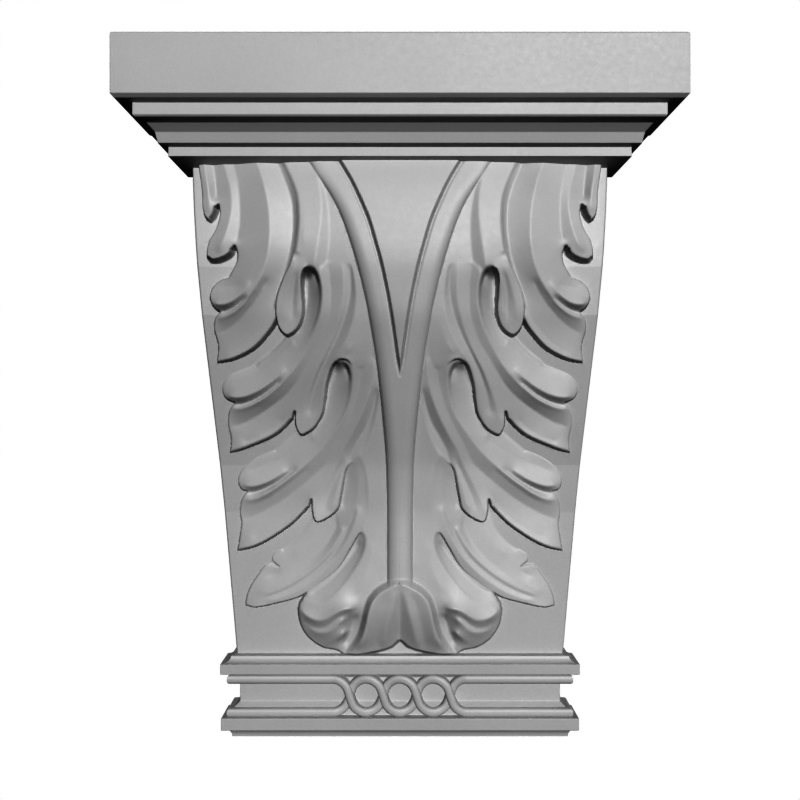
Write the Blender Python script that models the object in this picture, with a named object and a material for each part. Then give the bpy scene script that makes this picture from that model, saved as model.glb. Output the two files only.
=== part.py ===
"""Carved bracket: one block of stone, carved with an acanthus relief, to be set on a wall.

The block is a stack of mouldings: a broad abacus with stepped mouldings under it, a tapering
panel whose front swells forward below the top, and a foot moulding with a guilloche band.
The mouldings return along both sides and everything is cut off flat at the back.
On the panel two half leaves of acanthus mirror each other beside a forked stem.

Sizes are in millimetres and turned into metres by MM. The origin lies on the flat back, on the
centre line, half way up. +X is to the right as the bracket is looked at, -Y is its front.
"""
import math

import bmesh
import bpy
import mathutils
import numpy as np

MM = 0.001

# The block
HEIGHT = 300.0
ABACUS_WIDTH = 235.0
DEPTH = 57.4
HALF_HEIGHT = HEIGHT / 2
# The mouldings keep one projection on the front and on both sides.
SIDE_OFFSET = ABACUS_WIDTH / 2 - DEPTH

# Cap mouldings: levels above the middle, and how far each face stands off the back
ABACUS_EASE = 1.2
ABACUS_FOOT = 125.0
ABACUS_CHAMFER = 1.5
FILLET_1_TOP, FILLET_1_FOOT, FILLET_1_FACE = 123.4, 118.4, 50.3
CAVETTO_TOP, CAVETTO_FOOT = 117.6, 108.8
CAVETTO_OUT, CAVETTO_IN = 49.7, 41.8
FILLET_2_TOP, FILLET_2_FOOT, FILLET_2_FACE = 108.2, 104.1, 38.3

# Panel: half width at mid height, its growth with height, and the profile of its front
PANEL_FOOT = -113.8
PANEL_HALF_WIDTH = 83.6
PANEL_TAPER = 0.0863
PANEL_PROFILE = ((-150, 11.3), (-60, 11.3), (-35, 12.6), (-8, 16.8), (27, 23.1), (57, 25.8),
                 (80, 23.6), (104, 17.9), (120, 13.5))

# Foot mouldings
COVE_OUT, COVE_IN, COVE_FOOT = 19.3, 15.7, -116.6
FILLET_3_FOOT, FILLET_3_FACE = -121.2, 19.7
BAND_EDGE, BAND_FLOOR = 14.5, 12.1
BAND_TOP, BAND_UPPER, BAND_LOWER, BAND_FOOT = -121.8, -124.3, -135.1, -137.2
FILLET_4_TOP, FILLET_4_FOOT, FILLET_4_FACE = -140.7, -146.1, 19.4
SCOTIA_OUT, SCOTIA_IN = 18.5, 15.1

# Guilloche: two ribbons plaited into three rings in the middle of the band
RIBBON_LEVELS = (-124.3, -139.1)
RIBBON_FACE = 17.1
RIBBON_HALF_WIDTH = 1.95
RING_PITCH = 15.0
RING_COUNT = 3
CROSSING_ANGLE = math.radians(72)
WEAVE_DEPTH = 0.8
RIBBON_RETURN = 0.15

# Relief: how proud the leaf lies, at the top and at the foot of the panel
LEAF_TOP_LEVEL, LEAF_FOOT_LEVEL = 10.3, 4.5
LEAF_TAPER_FROM, LEAF_TAPER_TO = -50.0, 60.0
STEM_RISE = 2.4
STEM_HALF_WIDTH = 5.2
FIELD_RISE = 2.4
RELIEF_TOLERANCE = 0.62
STEEP = 1.7
RELIEF_SINK = 2.0
RELIEF_BACK = 6.0
PANEL_MARGIN = 1.5
GRID = 0.8


# ------------------------------------------------------------------ curves
def smooth(points, step=2.0):
    """Points along a Catmull-Rom curve; columns beyond the second ride along."""
    p = np.asarray(points, float)
    p = np.vstack([2 * p[0] - p[1], p, 2 * p[-1] - p[-2]])
    out = []
    for a, b, c, d in zip(p, p[1:], p[2:], p[3:]):
        count = max(2, int(np.hypot(*(c - b)[:2]) / step) + 1)
        t = np.linspace(0, 1, count, endpoint=False)[:, None]
        out.append(0.5 * (2 * b + (c - a) * t + (2 * a - 5 * b + 4 * c - d) * t ** 2
                          + (3 * b - a - 3 * c + d) * t ** 3))
    return np.vstack(out + [p[-2:-1]])


def arc(start, end, bulge, count=8):
    """Arc between two points whose rise is bulge times the chord, to the right of the way."""
    a, b = np.asarray(start, float), np.asarray(end, float)
    t = np.linspace(0, 1, count + 1)[:, None]
    line = a * (1 - t) + b * t
    way = (b - a)[:2]
    line[:, :2] += 4 * bulge * t * (1 - t) * np.array([way[1], -way[0]])
    return line


def nearest(x, z, line):
    """Distance from each grid point to a line, and the line's own values there."""
    best = np.full(x.shape, 1e9)
    values = np.zeros(x.shape + (line.shape[1] - 2,))
    for a, b in zip(line, line[1:]):
        way = b - a
        length = way[0] ** 2 + way[1] ** 2
        if length == 0:
            continue
        t = np.clip(((x - a[0]) * way[0] + (z - a[1]) * way[1]) / length, 0, 1)
        distance = (x - a[0] - t * way[0]) ** 2 + (z - a[1] - t * way[1]) ** 2
        closer = distance < best
        best[closer] = distance[closer]
        values[closer] = a[2:] + t[closer][:, None] * way[2:]
    return np.sqrt(best), values


def inside(x, z, ring):
    """Which grid points lie inside a closed ring."""
    result = np.zeros(x.shape, bool)
    for a, b in zip(ring, np.roll(ring, -1, 0)):
        if a[1] != b[1]:
            cut = (b[0] - a[0]) * (z - a[1]) / (b[1] - a[1]) + a[0]
            result ^= ((a[1] > z) != (b[1] > z)) & (x < cut)
    return result


def membrane(fixed, value, rounds=260):
    """Heights that pass through the fixed ones and run smoothly between them."""
    height = np.where(fixed, value, value[fixed].mean())
    rows, columns = np.indices(fixed.shape)
    for step in range(rounds):
        speed = 1.85 if step < rounds - 20 else 1.0
        for parity in (0, 1):
            p = np.pad(height, 1, mode="edge")
            mean = (p[:-2, 1:-1] + p[2:, 1:-1] + p[1:-1, :-2] + p[1:-1, 2:]) / 4
            free = ~fixed & ((rows + columns) % 2 == parity)
            height = np.where(free, height + speed * (mean - height), height)
    return height


# ------------------------------------------------------------------ the carved leaf
def panel_depth(z):
    """How far the panel's front stands off the back at a level."""
    line = smooth(PANEL_PROFILE)
    return np.interp(z, line[:, 0], line[:, 1])


def leaf_level(z):
    """How proud the leaf lies off the panel at a level: it thins toward the foot."""
    t = np.clip((z - LEAF_TAPER_FROM) / (LEAF_TAPER_TO - LEAF_TAPER_FROM), 0, 1)
    return LEAF_FOOT_LEVEL + (LEAF_TOP_LEVEL - LEAF_FOOT_LEVEL) * t * t * (3 - 2 * t)


class Relief:
    """Height field of one half of the relief; shapes are laid on it one over another."""

    def __init__(self):
        self.x_line = np.arange(0, 92, GRID)
        self.z_line = np.arange(PANEL_FOOT - 1.5, FILLET_2_FOOT + 2, GRID)
        self.x, self.z = np.meshgrid(self.x_line, self.z_line)
        self.height = np.zeros(self.x.shape)
        self.level = leaf_level(self.z)
        self.owner = np.zeros(self.x.shape, int)
        self.walls = []
        self.lines = []

    def lay(self, strokes, lines=(), level=None):
        """Lay a shape bounded by strokes (points x, z, height; edge width) over the rest.

        Heights are shares of the leaf's level. Lines are ridges and valleys inside.
        """
        ring = np.vstack([np.column_stack([s[:-1], np.full(len(s) - 1, w)]) for s, w in strokes])
        distance, value = nearest(self.x, self.z, np.vstack([ring, ring[:1]]))
        covered = inside(self.x, self.z, ring)
        near = distance < 3 * GRID
        rows = np.flatnonzero((covered | near).any(1))
        columns = np.flatnonzero((covered | near).any(0))
        box = (slice(rows[0], rows[-1] + 1), slice(columns[0], columns[-1] + 1))
        fixed = ~covered[box]
        height = value[box][..., 0].copy()
        for line in lines:
            dense = smooth(line, GRID / 3)
            i = np.rint((dense[:, 0] - self.x_line[columns[0]]) / GRID).astype(int)
            j = np.rint((dense[:, 1] - self.z_line[rows[0]]) / GRID).astype(int)
            held = (i >= 0) & (j >= 0) & (i < fixed.shape[1]) & (j < fixed.shape[0])
            fixed[j[held], i[held]] = True
            height[j[held], i[held]] = dense[held, 2]
        height = membrane(fixed, height)
        height *= self.level[box] if level is None else level
        t = np.where(covered[box], distance[box] / value[box][..., 1], 0).clip(0, 1)
        blend = np.sqrt(1 - (1 - t) ** 2)
        self.height[box] += blend * (height - self.height[box])
        self.walls.append(strokes)
        self.owner[box][covered[box]] = len(self.walls)
        self.lines += [(len(self.walls), np.asarray(line, float)) for line in lines]

    def cell(self, point):
        """Row and column of the grid point next to a place."""
        row = int(round((point[1] - self.z_line[0]) / GRID))
        column = int(round((point[0] - self.x_line[0]) / GRID))
        return (min(max(row, 0), len(self.z_line) - 1), min(max(column, 0), len(self.x_line) - 1))

    def line_runs(self):
        """Points along each ridge and valley, with None where it doesn't show."""
        runs = []
        for number, line in self.lines:
            path = smooth(line, 1.0)[:, :2]
            reach = np.concatenate([[0], np.cumsum(np.hypot(*np.diff(path, axis=0).T))])
            run = []
            for spot in np.linspace(0, reach[-1], max(2, int(reach[-1] / LINE_SPACING) + 1)):
                here = [np.interp(spot, reach, path[:, k]) for k in (0, 1)]
                shows = self.owner[self.cell(here)] == number and here[0] > 1.0
                run.append((*here, self.sample(here)) if shows else None)
            runs.append(run)
        return runs

    def wall_runs(self):
        """Points along the foot and the head of every steep edge, None where it is hidden."""
        runs = []
        for number, strokes in enumerate(self.walls, 1):
            for stroke, width in strokes:
                if width >= MELT:
                    continue
                line = stroke[:, :2]
                reach = np.concatenate([[0], np.cumsum(np.hypot(*np.diff(line, axis=0).T))])
                count = max(1, int(round(reach[-1] / WALL_SPACING)))
                feet, heads = [], []
                for spot in np.linspace(0, reach[-1], count + 1):
                    here = np.array([np.interp(spot, reach, line[:, k]) for k in (0, 1)])
                    step = np.array([np.interp(spot + 0.5, reach, line[:, k])
                                     - np.interp(spot - 0.5, reach, line[:, k]) for k in (0, 1)])
                    inward = np.array([step[1], -step[0]]) / np.hypot(*step)
                    if self.owner[self.cell(here + 0.8 * inward)] != number:
                        inward = -inward
                    shows = (self.owner[self.cell(here + 0.8 * inward)] == number
                             and here[0] >= 1.0)
                    head, foot = here + 0.8 * width * inward, here - 0.1 * inward
                    crowned = shows and self.owner[self.cell(head)] == number
                    feet.append((*foot, self.sample(here - 0.9 * inward)) if shows else None)
                    heads.append((*head, self.sample(here + width * inward)) if crowned else None)
                runs += [feet, heads]
        return runs

    def sample(self, point):
        """The front's height at a place between the grid points."""
        u = np.clip((point[0] - self.x_line[0]) / GRID, 0, len(self.x_line) - 1.001)
        v = np.clip((point[1] - self.z_line[0]) / GRID, 0, len(self.z_line) - 1.001)
        i, j = int(u), int(v)
        u, v = u - i, v - j
        part = self.height[j:j + 2, i:i + 2]
        if part.min() <= 0.01:
            return float(part.max())
        return float((part * np.outer((1 - v, v), (1 - u, u))).sum())


# Named points of each side group of the leaf: (mm from the centre line, mm above the middle).
# From its axil under the group above, a group runs to a nick, a round lobe, a cleft, a pointed
# blade and a fork, and ends in a round tongue beside a drilled eye. Root, crease, valley and
# swell are where the lines carved into it die out toward the stem. axil_rise and edge are how
# proud its margin lies at the axil and round the lobe, as shares of the leaf's level.
SIDE_GROUPS = (
    dict(axil=(62, 66), nick=(74.8, 54.1), lobe=(82.8, 45.4), cleft=(78.6, 39.1),
         side=(81.5, 31.3), tip=(80.7, 17.0), fork=(52.1, 40.4), tongue=(49.4, 28.2),
         flank=(41.6, 39.3), eye=(38.2, 57.9), rim=(33.5, 48.6), foot=(39.9, 28.5),
         crown=(60, 64), root=(66, 51), crease=(66.5, 45.0), valley=(50.2, 70.3),
         swell=(47.1, 76), axil_rise=0.75, edge=0.3),
    dict(axil=(44.8, 38.6), nick=(65.2, 15.6), lobe=(78.8, 6.0), cleft=(73.4, -0.6),
         side=(76.6, -8.0), tip=(76.3, -23.0), fork=(47.0, -5.8), tongue=(43.9, -15.0),
         flank=(32.9, 0.3), eye=(25.5, 18.1), rim=(20.9, 9.4), foot=(27.5, -10.3),
         crown=(16.4, 24.4), root=(42.5, 29.3), crease=(53.5, 8.6), valley=(37.4, 19.0),
         swell=(44.8, 4.2), axil_rise=0.35, edge=0.08),
    dict(axil=(44.3, -10.4), nick=(57.5, -22.2), lobe=(72.8, -35.0), cleft=(68.7, -40.4),
         side=(72.3, -50.6), tip=(73.4, -67.4), fork=(40.2, -45.5), tongue=(37.8, -54.2),
         flank=(26.4, -42.4), eye=(21.0, -27.8), rim=(18.1, -35.0), foot=(24.5, -60.0),
         crown=(15.1, -17.0), root=(31.0, -10.4), crease=(48.8, -31.1), valley=(33.5, -24.7),
         swell=(38.5, -37.8), axil_rise=0.35, edge=0.08),
)
CLEFT_EDGE, SIDE_EDGE, TIP_EDGE, MARGIN_SHARE = 0.2, 0.15, 0.25, 0.5
FORK_SHARE, TONGUE_SHARE, EYE_SHARE, FLOOR = 0.62, 0.80, 0.95, 0.3
CRISP, ROUND_EDGE, MELT = 1.2, 2.2, 5.0
WALL_SPACING = 3.1
LINE_SPACING = 6.0
POINT_GAP = 0.7


def toward(a, b, share):
    """The point a share of the way from a to b."""
    return tuple(p + share * (q - p) for p, q in zip(a, b))


def at(point, share):
    """A point of the leaf with its height."""
    return (point[0], point[1], share)


def lay_eye(relief, g, depth):
    """The hollow beside a tongue, deepest under the eye's arched top."""
    relief.lay([
        (arc(at(g["eye"], depth), at(g["rim"], depth), 0.22), ROUND_EDGE),
        (arc(at(g["rim"], depth), at(g["foot"], 0.6), -0.08), MELT),
        (arc(at(g["foot"], 0.6), at(g["tongue"], 0.6), 0.1), MELT),
        (arc(at(g["tongue"], 0.6), at(g["eye"], depth), 0.0), CRISP),
    ], [(at(toward(g["eye"], g["flank"], 0.1), depth),
         at(toward(g["flank"], g["eye"], 0.1), depth))])


def side_outline(g):
    """The free edge of a side group from its nick to its fork."""
    below = toward(g["tip"], g["fork"], 0.35)
    drop = 0.07 * math.dist(g["tip"], g["fork"])
    below = (below[0] - 0.4 * drop, below[1] - 0.9 * drop)
    return [
        (arc(at(g["nick"], g["edge"]), at(g["lobe"], g["edge"]), -0.16), CRISP),
        (arc(at(g["lobe"], g["edge"]), at(g["cleft"], CLEFT_EDGE), -0.24), CRISP),
        (arc(at(g["cleft"], CLEFT_EDGE), at(g["side"], SIDE_EDGE), -0.12), CRISP),
        (arc(at(g["side"], SIDE_EDGE), at(g["tip"], TIP_EDGE), 0.03), CRISP),
        (smooth((at(g["tip"], TIP_EDGE), at(below, MARGIN_SHARE), at(g["fork"], FORK_SHARE))),
         CRISP),
    ]


def lay_side_group(relief, g):
    """One side group: eye hollow first, then the round lobe, the blade and the tongue."""
    lay_eye(relief, g, FLOOR)
    relief.lay([(arc(at(g["axil"], g["axil_rise"]), at(g["nick"], g["edge"]), -0.06), CRISP)]
               + side_outline(g) + [
        (arc(at(g["fork"], FORK_SHARE + 0.1), at(g["tongue"], TONGUE_SHARE), -0.22), CRISP),
        (arc(at(g["tongue"], TONGUE_SHARE), at(g["flank"], 0.88), -0.2), CRISP),
        (arc(at(g["flank"], 0.88), at(g["eye"], EYE_SHARE), 0.12), CRISP),
        (arc(at(g["eye"], EYE_SHARE), at(g["crown"], 1.0), -0.1), MELT),
        (arc(at(g["crown"], 1.0), at(g["axil"], g["axil_rise"]), -0.3), MELT),
    ], side_lines(g) + [
        (at(toward(g["tongue"], g["fork"], 0.5), 0.9), at(toward(g["fork"], g["eye"], 0.4), 0.93),
         at(toward(g["eye"], g["valley"], 0.4), 0.95)),
    ])


def side_lines(g):
    """Ridges and valleys of a side group: lobe, crease, the ridge under it, the blade."""
    under_lobe = toward(g["lobe"], g["cleft"], 0.6)
    below_cleft = toward(g["cleft"], g["side"], 0.5)
    above_tip = toward(g["tip"], g["side"], 0.4)
    return [
        arc(at(toward(g["lobe"], g["root"], 0.1), g["edge"] + 0.1), at(g["root"], 0.56), -0.06),
        arc(at(toward(under_lobe, g["crease"], 0.1), g["edge"] + 0.26), at(g["crease"], 0.66),
            -0.06),
        arc(at(toward(g["cleft"], g["crease"], 0.04), CLEFT_EDGE),
            at(toward(g["crease"], g["fork"], 0.08), 0.56), -0.06),
        arc(at(toward(below_cleft, g["crease"], 0.06), SIDE_EDGE + 0.2),
            at(toward(g["crease"], g["fork"], 0.3), 0.7), -0.06),
        arc(at(toward(g["side"], g["tip"], 0.1), SIDE_EDGE), at(g["valley"], 0.66), -0.14),
        arc(at(toward(above_tip, g["swell"], 0.1), TIP_EDGE + 0.08), at(g["swell"], 0.66), -0.1),
    ]


def lay_ground(relief):
    """The leaf's body beside the stem, down to the scroll that curls out over the foot."""
    relief.lay([
        (arc((52, 108, 1.0), (20, 108, 1.0), 0.0), CRISP),
        (smooth(((20, 108, 1.0), (10, 50, 1.0), (0, 10, 1.0), (0, -100, 1.0), (18, -112, 0.9))),
         CRISP),
        (smooth(((18, -112, 0.9), (28.3, -112.2, 0.4), (34.6, -110.8, 0.38), (42.7, -105.4, 0.4),
                 (45.8, -98, 0.5), (45.6, -92, 0.6), (43.5, -87.7, 0.7))), ROUND_EDGE),
        (smooth(((43.5, -87.7, 0.7), (30, -68, 0.7), (36, -20, 0.6), (44, 30, 0.7),
                 (52, 108, 1.0))), CRISP),
    ], [
        ((44.2, -91.0, 0.9), (38.4, -96.6, 1.6), (32.5, -96.8, 1.75), (27.6, -94.2, 1.75),
         (20.0, -91.9, 1.6)),
        ((44.4, -97, 0.6), (37, -104, 0.85), (29, -106, 1.0), (24, -98, 1.45)),
        ((14, -80, 1.05), (18, -84, 1.2)),
        ((33, 104, 1.0), (18, 50, 1.0), (9, 10, 1.0), (7, -30, 1.0), (7, -70, 1.0)),
    ])


def lay_bottom_leaf(relief):
    """The lowest leaf, a single pointed blade between the third eye and the fourth."""
    relief.lay([
        (smooth(((17.0, -58.3, 0.45), (14.4, -62.8, 0.45), (15.5, -69, 0.55), (19, -76, 0.7),
                 (26.9, -84.5, 0.85))), MELT),
        (arc((26.9, -84.5, 0.85), (32, -86, 0.9), 0.0), MELT),
        (smooth(((32, -86, 0.9), (24, -72, 0.5), (17.0, -58.3, 0.45))), CRISP),
    ])
    relief.lay([
        (smooth(((36.8, -44.2, 0.5), (41.2, -51.8, 0.45), (44.5, -58.5, 0.42),
                 (49.5, -63.5, 0.38), (57.9, -71.1, 0.34))), CRISP),
        (smooth(((57.9, -71.1, 0.34), (54.6, -74.4, 0.38))), CRISP),
        (smooth(((54.6, -74.4, 0.38), (60.5, -73.6, 0.36), (66.5, -83, 0.3),
                 (69.7, -92.0, 0.26))), CRISP),
        (smooth(((69.7, -92.0, 0.26), (57, -91.2, 0.42), (44.6, -87.7, 0.55),
                 (27.9, -75.0, 0.76), (17.0, -58.3, 0.92))), CRISP),
        (smooth(((17.0, -58.3, 0.92), (13, -40, 1.0), (22, -27, 0.9), (36.8, -44.2, 0.5))), MELT),
    ], [
        ((24, -48, 0.4), (26, -60, 0.4), (31, -71, 0.4), (43, -82, 0.4), (58, -88, 0.34)),
        ((31, -50, 0.78), (36, -63, 0.78), (48, -75, 0.66), (62, -82, 0.42)),
        ((20, -48, 0.95), (22, -61, 0.85), (29, -75, 0.66), (42, -86.5, 0.5)),
    ])


def lay_top_group(relief, g):
    """The upper group, with its two small hanging lobes and the long ridge beside them."""
    lay_eye(relief, g, 0.2)
    relief.lay([
        (arc((53.4, 108, 0.68), (89.3, 108, 0.5), 0.0), CRISP),
        (smooth(((89.3, 108, 0.5), (87.2, 98, 0.5), (85.9, 89, 0.47), (84.7, 80, 0.37),
                 (82.5, 77.9, 0.35))), CRISP),
        (arc((82.5, 77.9, 0.35), (78.8, 84.3, 0.47), -0.15), ROUND_EDGE),
        (smooth(((78.8, 84.3, 0.47), (79.2, 78, 0.47), (83, 70, 0.41), (84.2, 63.5, 0.35))), CRISP),
        (smooth(((84.2, 63.5, 0.35), (81.8, 60.3, 0.36), (75.3, 61.7, 0.43),
                 (71.7, 66.9, 0.51))), ROUND_EDGE),
        (smooth(((71.7, 66.9, 0.51), (71.0, 61, 0.51), (74.7, 54.1, 0.43))), CRISP),
    ] + side_outline(g) + [
        (smooth(((52.1, 40.4, 0.72), (48.6, 52.4, 0.69), (43.8, 73.2, 0.67), (44.7, 89.8, 0.67),
                 (53.4, 108, 0.68))), ROUND_EDGE),
    ], side_lines(g) + [
        ((85.6, 106, 0.57), (83.7, 97, 0.58), (82.2, 82, 0.48)),
        ((82, 106, 0.5), (78.9, 88, 0.47)),
        ((76, 106, 0.58), (72, 88, 0.7), (71.5, 75, 0.68), (78, 65, 0.5)),
        ((64.8, 106, 0.95), (58.1, 86.8, 0.97), (56.3, 69.2, 0.95), (60.5, 52.2, 0.82)),
        ((50.2, 70.3, 0.8), (51.5, 84, 0.8), (58, 104, 0.8)),
    ])


def lay_top_tongue(relief, g):
    """The tongue of the upper group lies over the blade beside it."""
    relief.lay([
        (smooth(((43.6, 70.8, 1.0), (45.3, 62.6, 0.98), (51.6, 44.9, 0.9), (52.5, 34.5, 0.87),
                 (49.4, 28.2, 0.84))), CRISP),
        (smooth(((49.4, 28.2, 0.84), (43.8, 32.2, 0.88), (41.5, 39.4, 0.92), (41.9, 51.2, 0.96),
                 (38.2, 57.9, 1.0))), CRISP),
        (arc((38.2, 57.9, 1.0), (43.6, 70.8, 1.0), -0.1), MELT),
    ], [
        ((49.3, 34.3, 0.94), (48.2, 46, 1.02), (44.3, 60, 1.04)),
    ])


def lay_calyx(relief):
    """The bud that closes the stem's foot, with a groove on its axis and one on each side."""
    relief.lay([
        (smooth(((-2, -78.6, 10.5), (2, -78.9, 10.5), (5.7, -80.1, 10), (11.1, -83.3, 9.7),
                 (15.0, -88.0, 9.3), (17.3, -96.9, 8), (19, -103, 6.8), (22.3, -108.6, 5.2),
                 (26.5, -113.6, 3.6))), ROUND_EDGE * 1.3),
        (smooth(((26.5, -113.6, 3.6), (17.0, -115.0, 4.2), (9.8, -113.4, 4.6),
                 (3, -110.6, 4.9), (-2, -107.5, 5))), ROUND_EDGE),
        (arc((-2, -107.5, 5), (-2, -78.6, 10.5), 0.0), 0.2),
    ], [
        ((0, -81.5, 10.6), (5, -83, 11.3), (11, -87, 11), (14.3, -97, 9.4), (19, -109, 6)),
        ((2, -84, 11.2), (5, -95, 9.8), (5.5, -108, 6)),
        ((0, -84, 10.3), (0, -94, 8.4), (0, -106, 5.2)),
        ((5, -86, 10.6), (8, -96, 9.0), (9.5, -110, 5.4)),
    ], level=1.0)


STEM_OUTER = ((43, 112), (39.1, 104.5), (33.5, 95.8), (24.4, 77.9), (18.8, 60.5), (14.5, 43.5),
              (10.2, 18.0), (7.5, -8.1), (5.8, -35.0), (5.5, -70.9), (5.5, -90))
STEM_INNER = ((29, 112), (24.6, 103.1), (21.3, 95.3), (13.4, 77.4), (8.3, 60.1), (4.5, 43.3),
              (2.4, 26.4), (0, 11.5))


def lay_stem(relief):
    """The forked stem, a round rib, and the flat raised field between its two arms."""
    outer, inner = smooth(STEM_OUTER), smooth(STEM_INNER)
    reach, _ = nearest(relief.x, relief.z, outer)
    covered = relief.x < np.interp(relief.z, outer[::-1, 1], outer[::-1, 0])
    covered &= relief.z > STEM_OUTER[-1][1]
    relief.walls.append([(outer, CRISP)])
    relief.owner[covered] = len(relief.walls)
    crest = relief.level + STEM_RISE
    round_rib = np.sqrt(1 - (1 - np.clip(reach / STEM_HALF_WIDTH, 0, 1)) ** 2)
    relief.height = np.where(covered, relief.level + STEM_RISE * round_rib, relief.height)
    wall, _ = nearest(relief.x, relief.z, inner)
    between = relief.x < np.interp(relief.z, inner[::-1, 1], inner[::-1, 0], left=-1)
    relief.walls.append([(inner, CRISP)])
    relief.owner[between] = len(relief.walls)
    step = FIELD_RISE * np.clip(wall / 1.0, 0, 1)
    relief.height = np.where(between, crest + step, relief.height)


def carve_relief():
    """The whole height field of one half, laid from the lowest shape to the highest."""
    relief = Relief()
    upper, middle, lower = SIDE_GROUPS
    lay_ground(relief)
    lay_bottom_leaf(relief)
    lay_side_group(relief, lower)
    lay_side_group(relief, middle)
    lay_top_group(relief, upper)
    lay_top_tongue(relief, upper)
    lay_stem(relief)
    lay_calyx(relief)
    return relief


# ------------------------------------------------------------------ solids
def new_object(name, vertices, faces):
    mesh = bpy.data.meshes.new(name)
    mesh.from_pydata([[c * MM for c in v] for v in vertices], [], faces)
    mesh.validate()
    shape = bmesh.new()
    shape.from_mesh(mesh)
    bmesh.ops.recalc_face_normals(shape, faces=shape.faces)
    shape.to_mesh(mesh)
    shape.free()
    thing = bpy.data.objects.new(name, mesh)
    bpy.context.scene.collection.objects.link(thing)
    return thing


def worst_points(corners, triangles, relief, target, steepness):
    """Grid points that lie farthest off each triangle, where that is more than allowed."""
    found = set()
    x0, z0 = relief.x_line[0], relief.z_line[0]
    for triangle in triangles:
        a, b, c = corners[list(triangle)]
        low, high = np.minimum(np.minimum(a, b), c), np.maximum(np.maximum(a, b), c)
        i0, i1 = int(math.ceil((low[0] - x0) / GRID)), int((high[0] - x0) / GRID)
        j0, j1 = int(math.ceil((low[1] - z0) / GRID)), int((high[1] - z0) / GRID)
        if i1 < i0 or j1 < j0:
            continue
        box = (slice(j0, j1 + 1), slice(i0, i1 + 1))
        x, z = relief.x[box] - a[0], relief.z[box] - a[1]
        p, q = b - a, c - a
        area = p[0] * q[1] - p[1] * q[0]
        if abs(area) < 1e-6:
            continue
        u = (x * q[1] - z * q[0]) / area
        v = (z * p[0] - x * p[1]) / area
        within = (u >= -1e-9) & (v >= -1e-9) & (u + v <= 1 + 1e-9)
        error = np.abs(a[2] + u * p[2] + v * q[2] - target[box]) / steepness[box]
        error[~within] = 0
        if error.size and error.max() > RELIEF_TOLERANCE:
            j, i = np.unravel_index(error.argmax(), error.shape)
            found.add((i0 + int(i), j0 + int(j)))
    return found


def raised(x, z, rise):
    """A point of the slab's front; where nothing is carved it lies inside the panel."""
    return (x, z, float(panel_depth(z)) + (rise if rise > 0 else -RELIEF_SINK))


def place_marks(runs, low, high):
    """Points of all runs, with close ones taken as one, and the ties between neighbours."""
    marks, ties = [], []
    for run in runs:
        last = None
        for point in run:
            if point is None or not low < point[1] < high:
                last = None
                continue
            x, z, _ = point
            here = next((k for k, (a, b, _) in enumerate(marks)
                         if (x - a) ** 2 + (z - b) ** 2 < POINT_GAP ** 2), len(marks))
            if here == len(marks):
                marks.append(raised(*point))
            if last is not None and last != here:
                ties.append((last, here))
            last = here
    return marks, ties


def relief_surface(relief):
    """Half of the relief's front as triangles that follow the height field."""
    base = panel_depth(relief.z_line)[:, None]
    target = base + np.where(relief.height > 0, relief.height, -RELIEF_SINK)
    rise_z, rise_x = np.gradient(target, GRID)
    steepness = np.sqrt(1 + rise_x ** 2 + rise_z ** 2)
    foot, top = relief.z_line[0], relief.z_line[-1]
    rows = np.rint(np.linspace(0, len(relief.z_line) - 1, 24)).astype(int)
    border = [(PANEL_HALF_WIDTH + PANEL_TAPER * z - PANEL_MARGIN, z, panel_depth(z) - RELIEF_SINK)
              for z in (foot, top)]
    chosen = {(0, int(j)) for j in rows}
    for i in range(8, len(relief.x_line), 8):
        for j in (0, len(relief.z_line) - 1):
            chosen.add((i, j))
    marks, ties = place_marks(relief.wall_runs() + relief.line_runs(), foot + 1, top - 1)
    ties = [(a + len(border), b + len(border)) for a, b in ties]
    steepness[steepness > STEEP] = 1e6
    steepness *= relief.level / LEAF_TOP_LEVEL
    for _ in range(10):
        kept = [(relief.x_line[i], relief.z_line[j], target[j, i]) for i, j in sorted(chosen)
                if relief.x_line[i] < PANEL_HALF_WIDTH + PANEL_TAPER * relief.z_line[j]
                - PANEL_MARGIN - GRID]
        given = border + marks + kept
        flat = [mathutils.Vector((x, z)) for x, z, _ in given]
        places, _, triangles, sources, _, _ = mathutils.geometry.delaunay_2d_cdt(
            flat, ties, [], 0, 1e-7)
        corners = np.array([given[source[0]] if source else raised(*place, relief.sample(place))
                            for place, source in zip(places, sources)])
        more = worst_points(corners, triangles, relief, target, steepness) - chosen
        if not more:
            break
        chosen |= more
    return corners, triangles


def relief_solid(relief):
    """Closed slab whose front is the relief and whose back is sunk into the panel."""
    corners, triangles = relief_surface(relief)
    index, vertices, faces = {}, [], []
    for side in (1, -1):
        for k, (x, z, depth) in enumerate(corners):
            key = (side if x > 0 else 0, k)
            if key not in index:
                index[key] = len(vertices)
                vertices.append((side * x, -depth, z))
        for triangle in triangles:
            faces.append([index[(side if corners[k][0] > 0 else 0, k)] for k in triangle])
    count = {}
    for face in faces:
        for p, q in zip(face, face[1:] + face[:1]):
            count[frozenset((p, q))] = count.get(frozenset((p, q)), 0) + 1
    rim = {}
    for edge, uses in count.items():
        if uses == 1:
            p, q = edge
            rim.setdefault(p, []).append(q)
            rim.setdefault(q, []).append(p)
    ring = [next(iter(rim))]
    while len(ring) < len(rim):
        ring.append(next(q for q in rim[ring[-1]] if len(ring) < 2 or q != ring[-2]))
    start = len(vertices)
    for k in ring:
        vertices.append((vertices[k][0], -RELIEF_BACK, vertices[k][2]))
    for k in range(len(ring)):
        after = (k + 1) % len(ring)
        faces.append((ring[k], ring[after], start + after, start + k))
    faces.append(tuple(range(start, start + len(ring))))
    return new_object("relief_slab", vertices, faces)


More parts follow.
